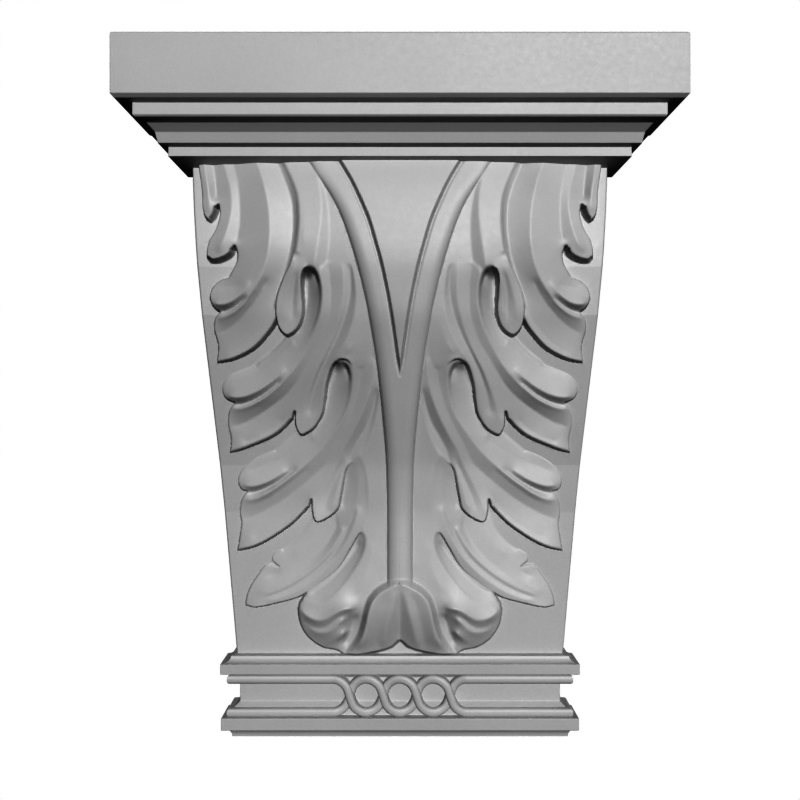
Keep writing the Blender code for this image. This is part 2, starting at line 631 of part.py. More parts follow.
def moulding_stack():
    """Levels of the block from the foot up: (height, half width, depth)."""
    rings = []

    def level(z, depth):
        rings.append((z, depth + SIDE_OFFSET, depth))

    def quarter(z0, depth0, z1, depth1, hollow_at_end, count=5):
        for k in range(count + 1):
            angle = math.pi / 2 * k / count
            rise, run = math.sin(angle), 1 - math.cos(angle)
            if hollow_at_end:
                rise, run = run, rise
            level(z0 + (z1 - z0) * rise, depth0 + (depth1 - depth0) * run)

    quarter(-HALF_HEIGHT, SCOTIA_IN, FILLET_4_FOOT, SCOTIA_OUT, False, 3)
    level(FILLET_4_FOOT, FILLET_4_FACE)
    level(FILLET_4_TOP, FILLET_4_FACE)
    level(FILLET_4_TOP, BAND_EDGE)
    level(BAND_FOOT, BAND_EDGE)
    level(BAND_LOWER, BAND_FLOOR)
    level(BAND_UPPER, BAND_FLOOR)
    level(BAND_TOP, BAND_EDGE)
    level(FILLET_3_FOOT, BAND_EDGE)
    level(FILLET_3_FOOT, FILLET_3_FACE)
    level(COVE_FOOT, FILLET_3_FACE)
    quarter(COVE_FOOT, COVE_OUT, PANEL_FOOT, COVE_IN, True, 3)
    for z in np.linspace(PANEL_FOOT, FILLET_2_FOOT, 24):
        rings.append((float(z), PANEL_HALF_WIDTH + PANEL_TAPER * z, float(panel_depth(z))))
    level(FILLET_2_FOOT, FILLET_2_FACE)
    level(FILLET_2_TOP, FILLET_2_FACE)
    quarter(CAVETTO_FOOT, CAVETTO_IN, CAVETTO_TOP, CAVETTO_OUT, False)
    level(FILLET_1_FOOT, FILLET_1_FACE)
    level(FILLET_1_TOP, FILLET_1_FACE)
    level(FILLET_1_TOP, DEPTH - ABACUS_CHAMFER)
    level(ABACUS_FOOT, DEPTH)
    level(HALF_HEIGHT - ABACUS_EASE, DEPTH)
    level(HALF_HEIGHT, DEPTH - ABACUS_EASE)
    return rings


def block_solid():
    """The stack of mouldings, open rings joined level by level and closed at both ends."""
    vertices, faces = [], []
    rings = moulding_stack()
    for z, half_width, depth in rings:
        vertices += [(-half_width, 0, z), (-half_width, -depth, z),
                     (half_width, -depth, z), (half_width, 0, z)]
    last = 4 * (len(rings) - 1)
    for a in range(0, last, 4):
        for b in (a, a + 1, a + 2):
            faces.append((b, b + 1, b + 5, b + 4))
    faces.append((0, 3, 2, 1))
    faces.append((last, last + 1, last + 2, last + 3))
    faces.append(tuple(range(0, last + 1, 4)) + tuple(range(last + 3, 2, -4)))
    return new_object("carved_bracket", vertices, faces)


def ribbon_path(first):
    """One ribbon of the plait across the front: (x, level, over) from left to right.

    first says on which level it starts. Between two levels it follows an arc, a short
    straight and an arc, and crosses the other ribbon half way.
    """
    half_rise = (RIBBON_LEVELS[0] - RIBBON_LEVELS[1]) / 2
    middle = sum(RIBBON_LEVELS) / 2
    sine, cosine = math.sin(CROSSING_ANGLE), math.cos(CROSSING_ANGLE)
    straight = (half_rise - RING_PITCH / 2 * (1 - cosine) / sine) / (
        sine - cosine * (1 - cosine) / sine)
    radius = (RING_PITCH / 2 - straight * cosine) / sine
    side, points = first, []
    for k in range(RING_COUNT + 1):
        crossing = (k - RING_COUNT / 2) * RING_PITCH
        over = 1 if side > 0 else -1
        swing = [(radius * math.sin(t), radius * (1 - math.cos(t)))
                 for t in np.linspace(0, CROSSING_ANGLE, 5)]
        half = [(x - RING_PITCH / 2, half_rise - drop) for x, drop in swing]
        way = half + [(-x, -rise) for x, rise in reversed(half)]
        for x, rise in way[:-1]:
            lift = over * math.cos(math.pi * x / RING_PITCH)
            points.append((crossing + x, middle + side * rise, lift))
        side = -side
    points.append(((RING_COUNT + 1) / 2 * RING_PITCH, middle + side * half_rise, 0))
    return points


def ribbon_solid(first):
    """A ribbon with a rounded back, along one side, across the front and along the other."""
    points = ribbon_path(first)
    corner = BAND_FLOOR + SIDE_OFFSET + RIBBON_RETURN
    path = [((-corner, 0.3, points[0][1]), (-1, 0), 0), ((-corner, -BAND_FLOOR, points[0][1]),
                                                         (-1, -1), 0)]
    path += [((x, -BAND_FLOOR, z), (0, -1), lift) for x, z, lift in points]
    path += [((corner, -BAND_FLOOR, points[-1][1]), (1, -1), 0),
             ((corner, 0.3, points[-1][1]), (1, 0), 0)]
    rise = RIBBON_FACE - BAND_FLOOR
    w = RIBBON_HALF_WIDTH
    section = ((-w, -1.0), (-w, rise - 1.2), (-w * 0.62, rise - 0.2), (w * 0.62, rise - 0.2),
               (w, rise - 1.2), (w, -1.0))
    centres = np.array([p[0] for p in path])
    vertices, faces = [], []
    for k, (centre, outward, lift) in enumerate(path):
        before, after = centres[max(k - 1, 0)], centres[min(k + 1, len(path) - 1)]
        across = np.array([0.0, 0.0, 1.0])
        if outward == (0, -1):
            way = (after - before) / np.linalg.norm(after - before)
            across = np.array([-way[2], 0.0, way[0]])
        for offset, out in section:
            out = out + (WEAVE_DEPTH * lift if out > 0 else 0)
            shift = np.array([outward[0] * out, outward[1] * out, 0.0])
            vertices.append(tuple(np.array(centre) + across * offset + shift))
    n = len(section)
    for k in range(len(path) - 1):
        for i in range(n):
            a, b = k * n + i, k * n + (i + 1) % n
            faces.append((a, b, b + n, a + n))
    faces.append(tuple(range(n)))
    faces.append(tuple(range(len(vertices) - n, len(vertices))))
    return new_object("ribbon_%s" % ("upper" if first > 0 else "lower"), vertices, faces)


def trim_behind_wall():
    """Cutter that takes off what stands behind the flat back."""
    x, z, deep = ABACUS_WIDTH, HEIGHT, 20.0
    corners = [(sx * x, y, sz * z) for y in (0, deep) for sz in (-1, 1) for sx in (-1, 1)]
    faces = [(0, 1, 3, 2), (4, 6, 7, 5), (0, 4, 5, 1), (2, 3, 7, 6), (0, 2, 6, 4), (1, 5, 7, 3)]
    return new_object("back_cutter", corners, faces)


def combine(block, other, operation):
    """Join or cut the block with another solid, which stays as a hidden guide."""
    other.hide_render = True
    other.display_type = "WIRE"
    step = block.modifiers.new(other.name, "BOOLEAN")
    step.operation = operation
    step.solver = "EXACT"
    step.object = other


def stone(name, colour, roughness):
    material = bpy.data.materials.new(name)
    material.use_nodes = True
    shader = material.node_tree.nodes["Principled BSDF"]
    shader.inputs["Base Color"].default_value = (*colour, 1)
    shader.inputs["Roughness"].default_value = roughness
    shader.inputs["Metallic"].default_value = 0.0
    return material


def main():
    for thing in list(bpy.data.objects):
        bpy.data.objects.remove(thing)
    block = block_solid()
    for first in (1, -1):
        combine(block, ribbon_solid(first), "UNION")
    combine(block, trim_behind_wall(), "DIFFERENCE")
    combine(block, relief_solid(carve_relief()), "UNION")
    block.data.materials.append(stone("carved_stone", (0.42, 0.42, 0.42), 0.55))


main()
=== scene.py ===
"""Carved bracket, dressed: the stone block with its full acanthus relief, on a pale floor.

The piece carved_bracket_stone replaces the CAD node. It has the same mouldings with eased
edges, a plaited band and a finely carved panel. Shapes are written in millimetres of the
300 mm high block and scaled to the frame.
"""

import math

import bmesh
import bpy
import mathutils
import numpy as np
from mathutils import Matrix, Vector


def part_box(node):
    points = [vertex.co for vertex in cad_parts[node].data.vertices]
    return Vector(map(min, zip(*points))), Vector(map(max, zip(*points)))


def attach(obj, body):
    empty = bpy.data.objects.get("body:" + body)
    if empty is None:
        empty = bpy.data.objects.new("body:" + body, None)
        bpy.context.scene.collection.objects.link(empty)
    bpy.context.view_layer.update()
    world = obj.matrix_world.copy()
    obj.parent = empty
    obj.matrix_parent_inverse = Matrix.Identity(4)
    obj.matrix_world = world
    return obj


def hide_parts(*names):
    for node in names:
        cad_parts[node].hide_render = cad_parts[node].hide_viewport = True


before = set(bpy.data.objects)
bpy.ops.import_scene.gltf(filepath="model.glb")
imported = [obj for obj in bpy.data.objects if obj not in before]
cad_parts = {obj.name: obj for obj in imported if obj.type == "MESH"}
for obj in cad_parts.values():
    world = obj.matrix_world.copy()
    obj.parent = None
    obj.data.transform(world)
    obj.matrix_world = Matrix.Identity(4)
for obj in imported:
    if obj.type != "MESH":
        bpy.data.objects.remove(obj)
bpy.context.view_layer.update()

LOW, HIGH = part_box("carved_bracket")
HALF_HEIGHT = 150.0
MM = (HIGH[2] - LOW[2]) / (2 * HALF_HEIGHT)
DEPTH = -LOW[1] / MM
HALF_WIDTH = HIGH[0] / MM
SIDE_OFFSET = HALF_WIDTH - DEPTH

# Mouldings: levels above the middle and projections from the back
ABACUS_FOOT, ABACUS_EDGE = 125.0, 1.1
ABACUS_CHAMFER = 1.5
FILLET_1_TOP, FILLET_1_FOOT, FILLET_1_FACE = 123.4, 118.4, 50.3
CAVETTO_TOP, CAVETTO_FOOT = 117.6, 108.8
CAVETTO_OUT, CAVETTO_IN = 49.7, 41.8
FILLET_2_TOP, FILLET_2_FOOT, FILLET_2_FACE = 108.2, 104.1, 38.3
PANEL_FOOT = -113.8
PANEL_HALF_WIDTH, PANEL_TAPER = 83.6, 0.0863
CAP_TUCK, FOOT_TUCK = 6, 3    # how far the mouldings' hidden edges reach into the panel
COVE_OUT, COVE_IN, COVE_FOOT = 19.3, 15.7, -116.6
FILLET_3_FOOT, FILLET_3_FACE = -121.2, 19.7
BAND_EDGE, BAND_FLOOR = 14.5, 12.1
BAND_TOP, BAND_UPPER, BAND_LOWER, BAND_FOOT = -121.8, -124.3, -135.1, -137.2
FILLET_4_TOP, FILLET_4_FOOT, FILLET_4_FACE = -140.7, -146.1, 19.4
SCOTIA_OUT, SCOTIA_IN = 18.5, 15.1
MOULDING_EASE = 0.28

# Plaited band
RIBBON_LEVELS = (-124.3, -139.1)
RIBBON_FACE, RIBBON_HALF_WIDTH, RIBBON_RETURN = 17.1, 1.95, 0.15
RIBBON_SHOULDER, RIBBON_ROUND, RIBBON_SINK = 1.7, 0.8, 1.0
RING_PITCH, RING_COUNT = 15.0, 3
CROSSING_ANGLE = math.radians(72)
WEAVE_DEPTH = 0.8

# Relief. The panel's front is (mm above the middle, mm from the wall), and the stem's crest
# (mm above the middle, mm above the panel). The crest's rows from -76 to 8 and the panel's at
# 84.1, 96.2 and 104.1 are taken from what other scripts printed.
PANEL_PROFILE = ((-150, 11.25), (-113.8, 11.25), (-50, 11.45), (-28.6, 13.1), (38, 25.0),
                 (59, 26.0), (68, 25.4), (84.1, 22.9), (96.2, 20.0), (104.1, 17.9),
                 (120, 13.5))
PANEL_EASE = 3
STEM_CREST = ((-150, 7.9), (-76, 7.9), (-64, 7.3), (-52, 6.95), (-40, 6.9), (-28, 7.4),
              (-16, 8.15), (-4, 9.1), (8, 9.85), (20, 10.5), (32, 11.15), (44, 11.7),
              (56, 12.2), (68, 12.6), (92, 12.75), (103, 12.2), (120, 11.4))
CREST_EASE = 3
STEM_RADIUS, FIELD_RISE, FIELD_WALL = 5.3, 2.0, 1.4
FORK_GROOVE, GROOVE_REACH, GROOVE_WALL = 0.55, 1.2, 0.8
GROOVE_FOOT, GROOVE_FADE = 7, 12
MERGE = 2.0                   # wall width where a shape grows out of the surface below
BULGE_WIDTH, SWING_WIDTH = 1.45, 1.85   # a narrower wall bulges, a wider one swings
GRID = 0.3
RELIEF_X, RELIEF_Z = (-1.5, 94), (-117, 107)
RELIEF_TRIANGLES = 172000
EDGE_EASE, EDGE_STEPS, EDGE_GAP = 0.9, 5, 0.0015
SHARP_ANGLE = math.radians(38)
BACK = 2.0                    # how far behind the wall the sides run before they are cut off

# Looks
STONE_GREY = 0.42
KEY, KEY_WAY = 4.7, (-0.2, 1.0, -0.42)
BACK_FILL, BACK_WAY = 2.2, (0.42, -0.9, -0.12)
SUN_SPREAD = math.radians(8)
WORLD_FILL = 0.015
FLOOR_DROP, FLOOR_REACH = 0.02, 8
LENS, SENSOR, NEAR = 43.456, 36.0, 0.01
EYE_DISTANCE, EYE_RISE = 0.448, 0.00073
VIEW_GAMMA = 0.4545


# ------------------------------------------------------------------ height field tools
def curve(points, step):
    """Centripetal Catmull-Rom curve; columns beyond the second ride along."""
    p = np.asarray(points, float)
    p = np.vstack([2 * p[0] - p[1], p, 2 * p[-1] - p[-2]])
    out = []
    for a, b, c, d in zip(p, p[1:], p[2:], p[3:]):
        gaps = [max(1e-9, math.hypot(*(v - u)[:2])) ** 0.5 for u, v in ((a, b), (b, c), (c, d))]
        t0, t1, t2, t3 = np.concatenate([[0], np.cumsum(gaps)])
        count = max(2, int(math.hypot(*(c - b)[:2]) / step) + 1)
        t = np.linspace(t1, t2, count, endpoint=False)[:, None]
        ab = (t1 - t) / (t1 - t0) * a + (t - t0) / (t1 - t0) * b
        bc = (t2 - t) / (t2 - t1) * b + (t - t1) / (t2 - t1) * c
        cd = (t3 - t) / (t3 - t2) * c + (t - t2) / (t3 - t2) * d
        abc = (t2 - t) / (t2 - t0) * ab + (t - t0) / (t2 - t0) * bc
        bcd = (t3 - t) / (t3 - t1) * bc + (t - t1) / (t3 - t1) * cd
        out.append((t2 - t) / (t2 - t1) * abc + (t - t1) / (t2 - t1) * bcd)
    return np.vstack(out + [p[-2:-1]])


def nearest(x, z, line):
    """Distance from each grid point to a line, and the line's own values there."""
    best = np.full(x.shape, 1e9)
    share = np.zeros(x.shape)
    which = np.zeros(x.shape, int)
    for k, (a, b) in enumerate(zip(line, line[1:])):
        way = b[:2] - a[:2]
        length = way[0] ** 2 + way[1] ** 2
        if length == 0:
            continue
        t = ((x - a[0]) * way[0] + (z - a[1]) * way[1]) / length
        np.clip(t, 0, 1, out=t)
        distance = (x - a[0] - t * way[0]) ** 2 + (z - a[1] - t * way[1]) ** 2
        closer = distance < best
        best[closer] = distance[closer]
        share[closer] = t[closer]
        which[closer] = k
    start, end = line[which][..., 2:], line[which + 1][..., 2:]
    return np.sqrt(best), start + share[..., None] * (end - start)


def inside(x, z, ring):
    """Which grid points lie inside a closed ring."""
    result = np.zeros(x.shape, bool)
    for a, b in zip(ring, np.roll(ring, -1, 0)):
        if a[1] != b[1]:
            cut = (b[0] - a[0]) * (z - a[1]) / (b[1] - a[1]) + a[0]
            result ^= ((a[1] > z) != (b[1] > z)) & (x < cut)
    return result


def halve(fixed, value):
    """The same problem on a grid of half the fineness."""
    rows, columns = (fixed.shape[0] + 1) // 2, (fixed.shape[1] + 1) // 2
    held = np.zeros((2 * rows, 2 * columns))
    total = np.zeros((2 * rows, 2 * columns))
    held[:fixed.shape[0], :fixed.shape[1]] = fixed
    total[:fixed.shape[0], :fixed.shape[1]] = np.where(fixed, value, 0)
    count = held.reshape(rows, 2, columns, 2).sum((1, 3))
    total = total.reshape(rows, 2, columns, 2).sum((1, 3))
    return count > 0, total / np.maximum(count, 1)


def membrane(fixed, value, rounds=36):
    """Heights that pass through the fixed ones and run smoothly between them."""
    levels = [(fixed, np.where(fixed, value, 0.0))]
    while min(levels[-1][0].shape) > 10 and len(levels) < 7:
        levels.append(halve(*levels[-1]))
    height = None
    for held, known in reversed(levels):
        if height is None:
            height = np.where(held, known, known[held].mean())
            steps = 4 * rounds
        else:
            height = np.repeat(np.repeat(height, 2, 0), 2, 1)
            height = height[:held.shape[0], :held.shape[1]]
            height = np.where(held, known, height)
            steps = rounds
        rows, columns = np.indices(held.shape)
        odd = (rows + columns) % 2 == 1
        for step in range(steps):
            speed = 1.7 if step < steps - 4 else 1.0
            for colour in (~odd & ~held, odd & ~held):
                p = np.pad(height, 1, mode="edge")
                mean = (p[:-2, 1:-1] + p[2:, 1:-1] + p[1:-1, :-2] + p[1:-1, 2:]) / 4
                height = np.where(colour, height + speed * (mean - height), height)
    return height


def blur(height, reach):
    """Gaussian blur, reach in grid cells."""
    size = int(3 * reach + 1)
    weights = np.exp(-0.5 * (np.arange(-size, size + 1) / reach) ** 2)
    weights /= weights.sum()
    for axis in (0, 1):
        pad = [(0, 0), (0, 0)]
        pad[axis] = (size, size)
        p = np.pad(height, pad, mode="edge")
        if axis == 0:
            height = sum(w * p[k:k + height.shape[0]] for k, w in enumerate(weights))
        else:
            height = sum(w * p[:, k:k + height.shape[1]] for k, w in enumerate(weights))
    return height


class Relief:
    """Height field of one half of the relief; shapes are laid on it one over another."""

    def __init__(self):
        self.x_line = np.arange(*RELIEF_X, GRID)
        self.z_line = np.arange(*RELIEF_Z, GRID)
        self.x, self.z = np.meshgrid(self.x_line, self.z_line)
        profile = np.interp(self.z, *np.transpose(PANEL_PROFILE))
        self.ground = blur(profile, PANEL_EASE / GRID)
        self.height = profile - self.ground

    def place(self, line, box):
        """Grid places of a dense line within a box, and which of its points lie in it."""
        i = np.rint((line[:, 0] - self.x_line[0]) / GRID).astype(int) - box[1].start
        j = np.rint((line[:, 1] - self.z_line[0]) / GRID).astype(int) - box[0].start
        held = (i >= 0) & (j >= 0) & (i < box[1].stop - box[1].start)
        held &= j < box[0].stop - box[0].start
        return j[held], i[held], held

    def lay(self, shape):
        """Lay a shape over the rest.

        Its outline is a ring of strokes, each (wall width, points of x, z, height). The width
        is 0, and the points have no height, where the shape grows out of the surface below.
        Its lines are ridges and valleys.
        """
        strokes = []
        for width, points in shape["outline"]:
            line = curve([(*p, 0)[:3] for p in points], 1.2)[:-1]
            strokes.append(np.column_stack([
                line, np.full(len(line), width or MERGE), np.full(len(line), width == 0)]))
        ring = np.vstack(strokes)
        low, high = ring[:, :2].min(0) - 2, ring[:, :2].max(0) + 2
        box = (slice(*np.searchsorted(self.z_line, (low[1], high[1]))),
               slice(*np.searchsorted(self.x_line, (low[0], high[0]))))
        x, z = self.x[box], self.z[box]
        distance, value = nearest(x, z, np.vstack([ring, ring[:1]]))
        covered = inside(x, z, ring)
        rim = ~covered
        edge = value[..., 0] + value[..., 2] * self.height[box]
        lines = [curve(line, 0.4 * GRID) for line in shape["lines"]]
        height, fixed = edge.copy(), rim.copy()
        for line in lines:
            middle, _ = fade_ends(line)
            rows, columns, held = self.place(middle, box)
            fixed[rows, columns] = True
            height[rows, columns] = middle[held, 2]
        first = membrane(fixed, height)
        height, fixed = edge.copy(), rim.copy()
        for line in lines:
            rows, columns, held = self.place(line, box)
            share = fade_ends(line)[1][held]
            fixed[rows, columns] = True
            height[rows, columns] = share * line[held, 2] + (1 - share) * first[rows, columns]
        body = blur(membrane(fixed, height), shape["soft"] / GRID)
        width = value[..., 1]
        t = np.where(covered, distance / width, 0).clip(0, 1)
        gentle = np.clip((width - BULGE_WIDTH) / (SWING_WIDTH - BULGE_WIDTH), 0, 1)
        blend = swing(t) * gentle + np.sqrt(1 - (1 - t) ** 2) * (1 - gentle)
        self.height[box] += blend * (body - self.height[box])


def swing(t):
    """Profile of a gentle wall, half ramp and half S, from 0 at its foot to 1 at its top."""
    return t * (1 + t * (3 - 2 * t)) / 2


def fade_ends(line, reach=4):
    """The middle of a line, and how much each of its points counts towards its ends."""
    along = np.concatenate([[0], np.cumsum(np.hypot(*np.diff(line[:, :2], axis=0).T))])
    from_end = np.minimum(along, along[-1] - along)
    reach = min(reach, along[-1] / 3)
    share = np.clip(from_end / reach, 0, 1)
    share = share * share * (3 - 2 * share)
    return line[from_end >= reach], share


# ------------------------------------------------------------------ the carved shapes
# Places are (mm from the centre line, mm above the middle, mm above the panel). Each outline
# starts at the shape's top and runs out, down and back. Many of its places are points picked by
# eye on the photo and turned into mm by another script, and the heights were typed beside an
# estimate from its shading.
GROUND = dict(soft=0.45, outline=[
    (0.3, ((57.5, 109.4, 9.4), (36.9, 109.3, 10.4), (23.9, 109.3, 11.4))),
    (0.3, ((23.9, 109.3, 11.4), (14.6, 77.8, 10.6), (7.7, 56.2, 9.8), (2.6, 30.8, 8.8),
           (0.9, 0.7, 6.4), (0.9, -40, 4.3), (0.9, -70.9, 5.2), (1.8, -88.8, 6.2),
           (9.8, -106.7, 4.6), (17.9, -111.3, 2))),
    # round end of the scroll
    (1.2, ((17.9, -111.3, 2), (24.3, -114.5, 1.5), (28.4, -112.3, 1.9),
           (34.7, -111, 1.5), (39.2, -108.3, 1.7), (42.8, -104.6, 1.9),
           (45.4, -99.1, 2.2), (46, -93.7, 3), (45.4, -90.4, 3.1), (43.5, -87.7, 3))),
    (0.3, ((43.5, -87.7, 3), (31.4, -77.8, 3.4), (22.4, -64.3, 4), (22.5, -44.1, 3.9),
           (27.4, -21.6, 3.9), (35.7, 0.7, 4.8), (42.5, 22.5, 5.9), (46.1, 36, 7),
           (53.2, 40.8, 7), (56.5, 46.5, 7.2), (56, 56, 8.4), (54, 66, 9.7),
           (52.5, 80, 10.2), (54, 92, 10.2), (57.5, 109.4, 9.4))),
], lines=[
    # trough beside the stem, and the blade's swell beyond it
    ((34.8, 99, 11), (32.4, 91, 10.5), (31, 84, 10.15), (30.3, 76, 9.8),
     (30.4, 68, 9.4), (31.2, 60, 8.9), (31.6, 54, 8.5)),
    ((26.4, 82, 10.2), (24.6, 74, 9.95), (23.4, 67, 9.8), (22.6, 60, 9.6)),
    ((37.2, 101, 11.2), (34.6, 93, 11.15), (33.7, 85, 11.15), (33.9, 77, 11.1),
     (34.9, 69, 11), (36, 62, 10.7), (37.2, 55, 10.2)),
    ((51, 109, 9.8), (48.5, 103.5, 10), (45.2, 96.5, 10.5), (42.4, 88.5, 10.8),
     (41.2, 80, 10.9), (41, 72, 10.9), (41.4, 66, 10.6)),
    ((19.2, 60, 9.7), (15.6, 46, 9.3), (13, 33, 8.5), (11.3, 21, 7.9),
     (9.8, 8, 6.7), (8.7, -4, 5.5), (7.6, -16, 4.7), (7, -28, 4.35),
     (6.8, -40, 4.25), (6.7, -52, 4.35), (6.7, -64, 4.8), (6.7, -76, 5.7)),
    # hollow flank left of the lower hollows
    ((12.6, -17, 4.5), (15.6, -29, 4), (16.6, -42, 4.1), (16.6, -53, 4.1)),
    ((12.5, -62, 4.75), (13.5, -70.9, 5.25), (16.5, -79.8, 5.9), (21, -88.2, 6.2)),
    # lip of the scroll, the hollow under it, and the ball it curls round
    ((44.8, -90.6, 3.6), (43.6, -93.8, 5), (40.6, -96.2, 6.3), (36.8, -97.4, 7),
     (33.4, -97, 7.6), (30.4, -95.2, 8.3), (27.6, -93.2, 8.9), (24.6, -92, 9.3),
     (21.6, -91.8, 9), (19.4, -93, 7.8)),
    ((43.4, -97.6, 3.2), (40.8, -99.8, 4.1), (37.4, -101, 4.8), (34, -100.9, 5.5),
     (31, -99.2, 6.2), (28.4, -96.8, 6.9), (26, -95.2, 7.4), (23.4, -94.6, 7.2),
     (21, -95.4, 6.2)),
    ((42.2, -99.6, 3.6), (39.2, -102.4, 4.4), (35.6, -103.4, 5.3), (32.2, -102.8, 6.2),
     (29.2, -100.6, 7), (26.8, -98.2, 7.6), (25, -97, 7.9), (23, -98, 7.4)),
    ((39.6, -106.6, 2.4), (34.6, -107.8, 3.2), (29.4, -106.6, 4.8), (25.6, -103.8, 6.3),
     (23, -100.8, 6.7)),
    # groove beside the bud
    ((18.6, -94, 5.8), (20, -96.6, 3.8), (21.2, -100, 2.6), (22.2, -103.6, 2),
     (24, -107.4, 1.4), (26, -111, 0.8)),
])
EYE_4 = dict(soft=0.45, outline=[
    (0, ((18.4, -58), (17, -57.4), (15.3, -59), (14.5, -63.1), (16.2, -69.4), (20.2, -76.5),
         (25.5, -83.5), (30.5, -88.5), (36, -91), (41, -90.6), (44, -88.4))),
    (0.5, ((44, -88.4, 2.6), (40, -83.4, 2.7), (35, -79.6, 2.5), (28.5, -73.5, 2.1),
           (24.5, -66, 1.7), (20.8, -62, 1.7), (18.4, -58, 2.2))),
], lines=[
    ((17.6, -61.8, 2), (19.6, -66, 1.8), (23.5, -71.5, 2), (28.6, -77.6, 2.5),
     (34.6, -82.9, 2.8), (41.4, -87.4, 3)),
])
BOTTOM_LEAF = dict(soft=0.4, outline=[
    (0, ((31.3, -30.6), (40, -49.6), (41.2, -51.9), (44.6, -58.5), (49.5, -63.7),
         (54.1, -66.8))),
    (0.5, ((54.1, -66.8, 0.3), (57.2, -69, 0.3), (57.9, -71.1, 0.4), (56.8, -72.7, 0.6),
           (54.6, -74.4, 1))),
    (0.5, ((54.6, -74.4, 1), (57.6, -73.6, 0.6), (60.4, -73.6, 0.6), (63.8, -77.7, 0.7),
           (67.6, -83.6, 1), (69.5, -89, 1.1), (69.7, -92, 1.1))),
    (0.7, ((69.7, -92, 1.1), (65.5, -92.8, 2.2), (54.6, -90.7, 2.8), (44.5, -87.6, 2.9),
           (36.2, -81.6, 2.8), (27.8, -74.9, 2.7), (22, -65.8, 3.3), (19.3, -61.1, 3.8),
           (17.4, -58.3, 4.1), (16.2, -57.2, 4.1))),
    (0, ((16.2, -57.2), (13.9, -52), (13.5, -39.5), (15.2, -28.2), (20, -21.5),
         (24.5, -23.8), (31.3, -30.6))),
], lines=[
    # crest along the lower margin, the crease above it and the foot of that step
    ((18.2, -46, 4), (20, -53, 4), (24, -63, 3.6), (29.7, -71.8, 3.15),
     (40, -81, 3), (49.5, -86.6, 2.95), (61, -90.2, 2.7)),
    ((21, -46, 3), (22.6, -54.6, 2.9), (26, -62.3, 2.7), (31.2, -69.8, 2.5),
     (37, -75.2, 2.35), (43, -79.8, 2.3), (52.2, -85, 2.2), (62.3, -88.6, 2)),
    ((22.8, -46, 2.9), (24.6, -54.4, 3), (28, -61.9, 2.9), (32.8, -69, 2.8),
     (38.2, -74.4, 2.6), (43.9, -78.8, 2.5), (52.8, -84, 2.4), (62.5, -87.7, 2.2)),
    ((25.4, -44, 1.6), (27, -51, 1.4), (29.4, -58, 1.35), (33.2, -64.6, 1.5),
     (39.8, -71.4, 1.6), (47.2, -77, 1.75), (56.2, -82, 1.9), (64.6, -86.8, 1.9)),
    ((36, -56, 0.75), (42, -64, 0.95), (49, -70, 1.1)),
    # cheek beside the nick
    ((61, -79.4, 1.1), (57, -77.6, 0.9), (53, -75.6, 1.2)),
])
EYE_3 = dict(soft=0.45, outline=[
    (0, ((24.8, -30), (22.6, -27), (20.6, -27.2), (19, -29.3), (18.1, -34.3), (18.8, -44.3),
         (19.8, -50), (21.6, -55.4), (25, -58), (28.6, -56), (30, -50),
         (29, -43))),
    (0.5, ((29, -43, 1.1), (27, -38, 1.3), (26, -35, 1.5), (24.8, -30, 1.8))),
], lines=[
    ((22.6, -31, 2), (24, -37, 1.5), (25, -43, 1.3), (26.2, -49, 1.3)),
])
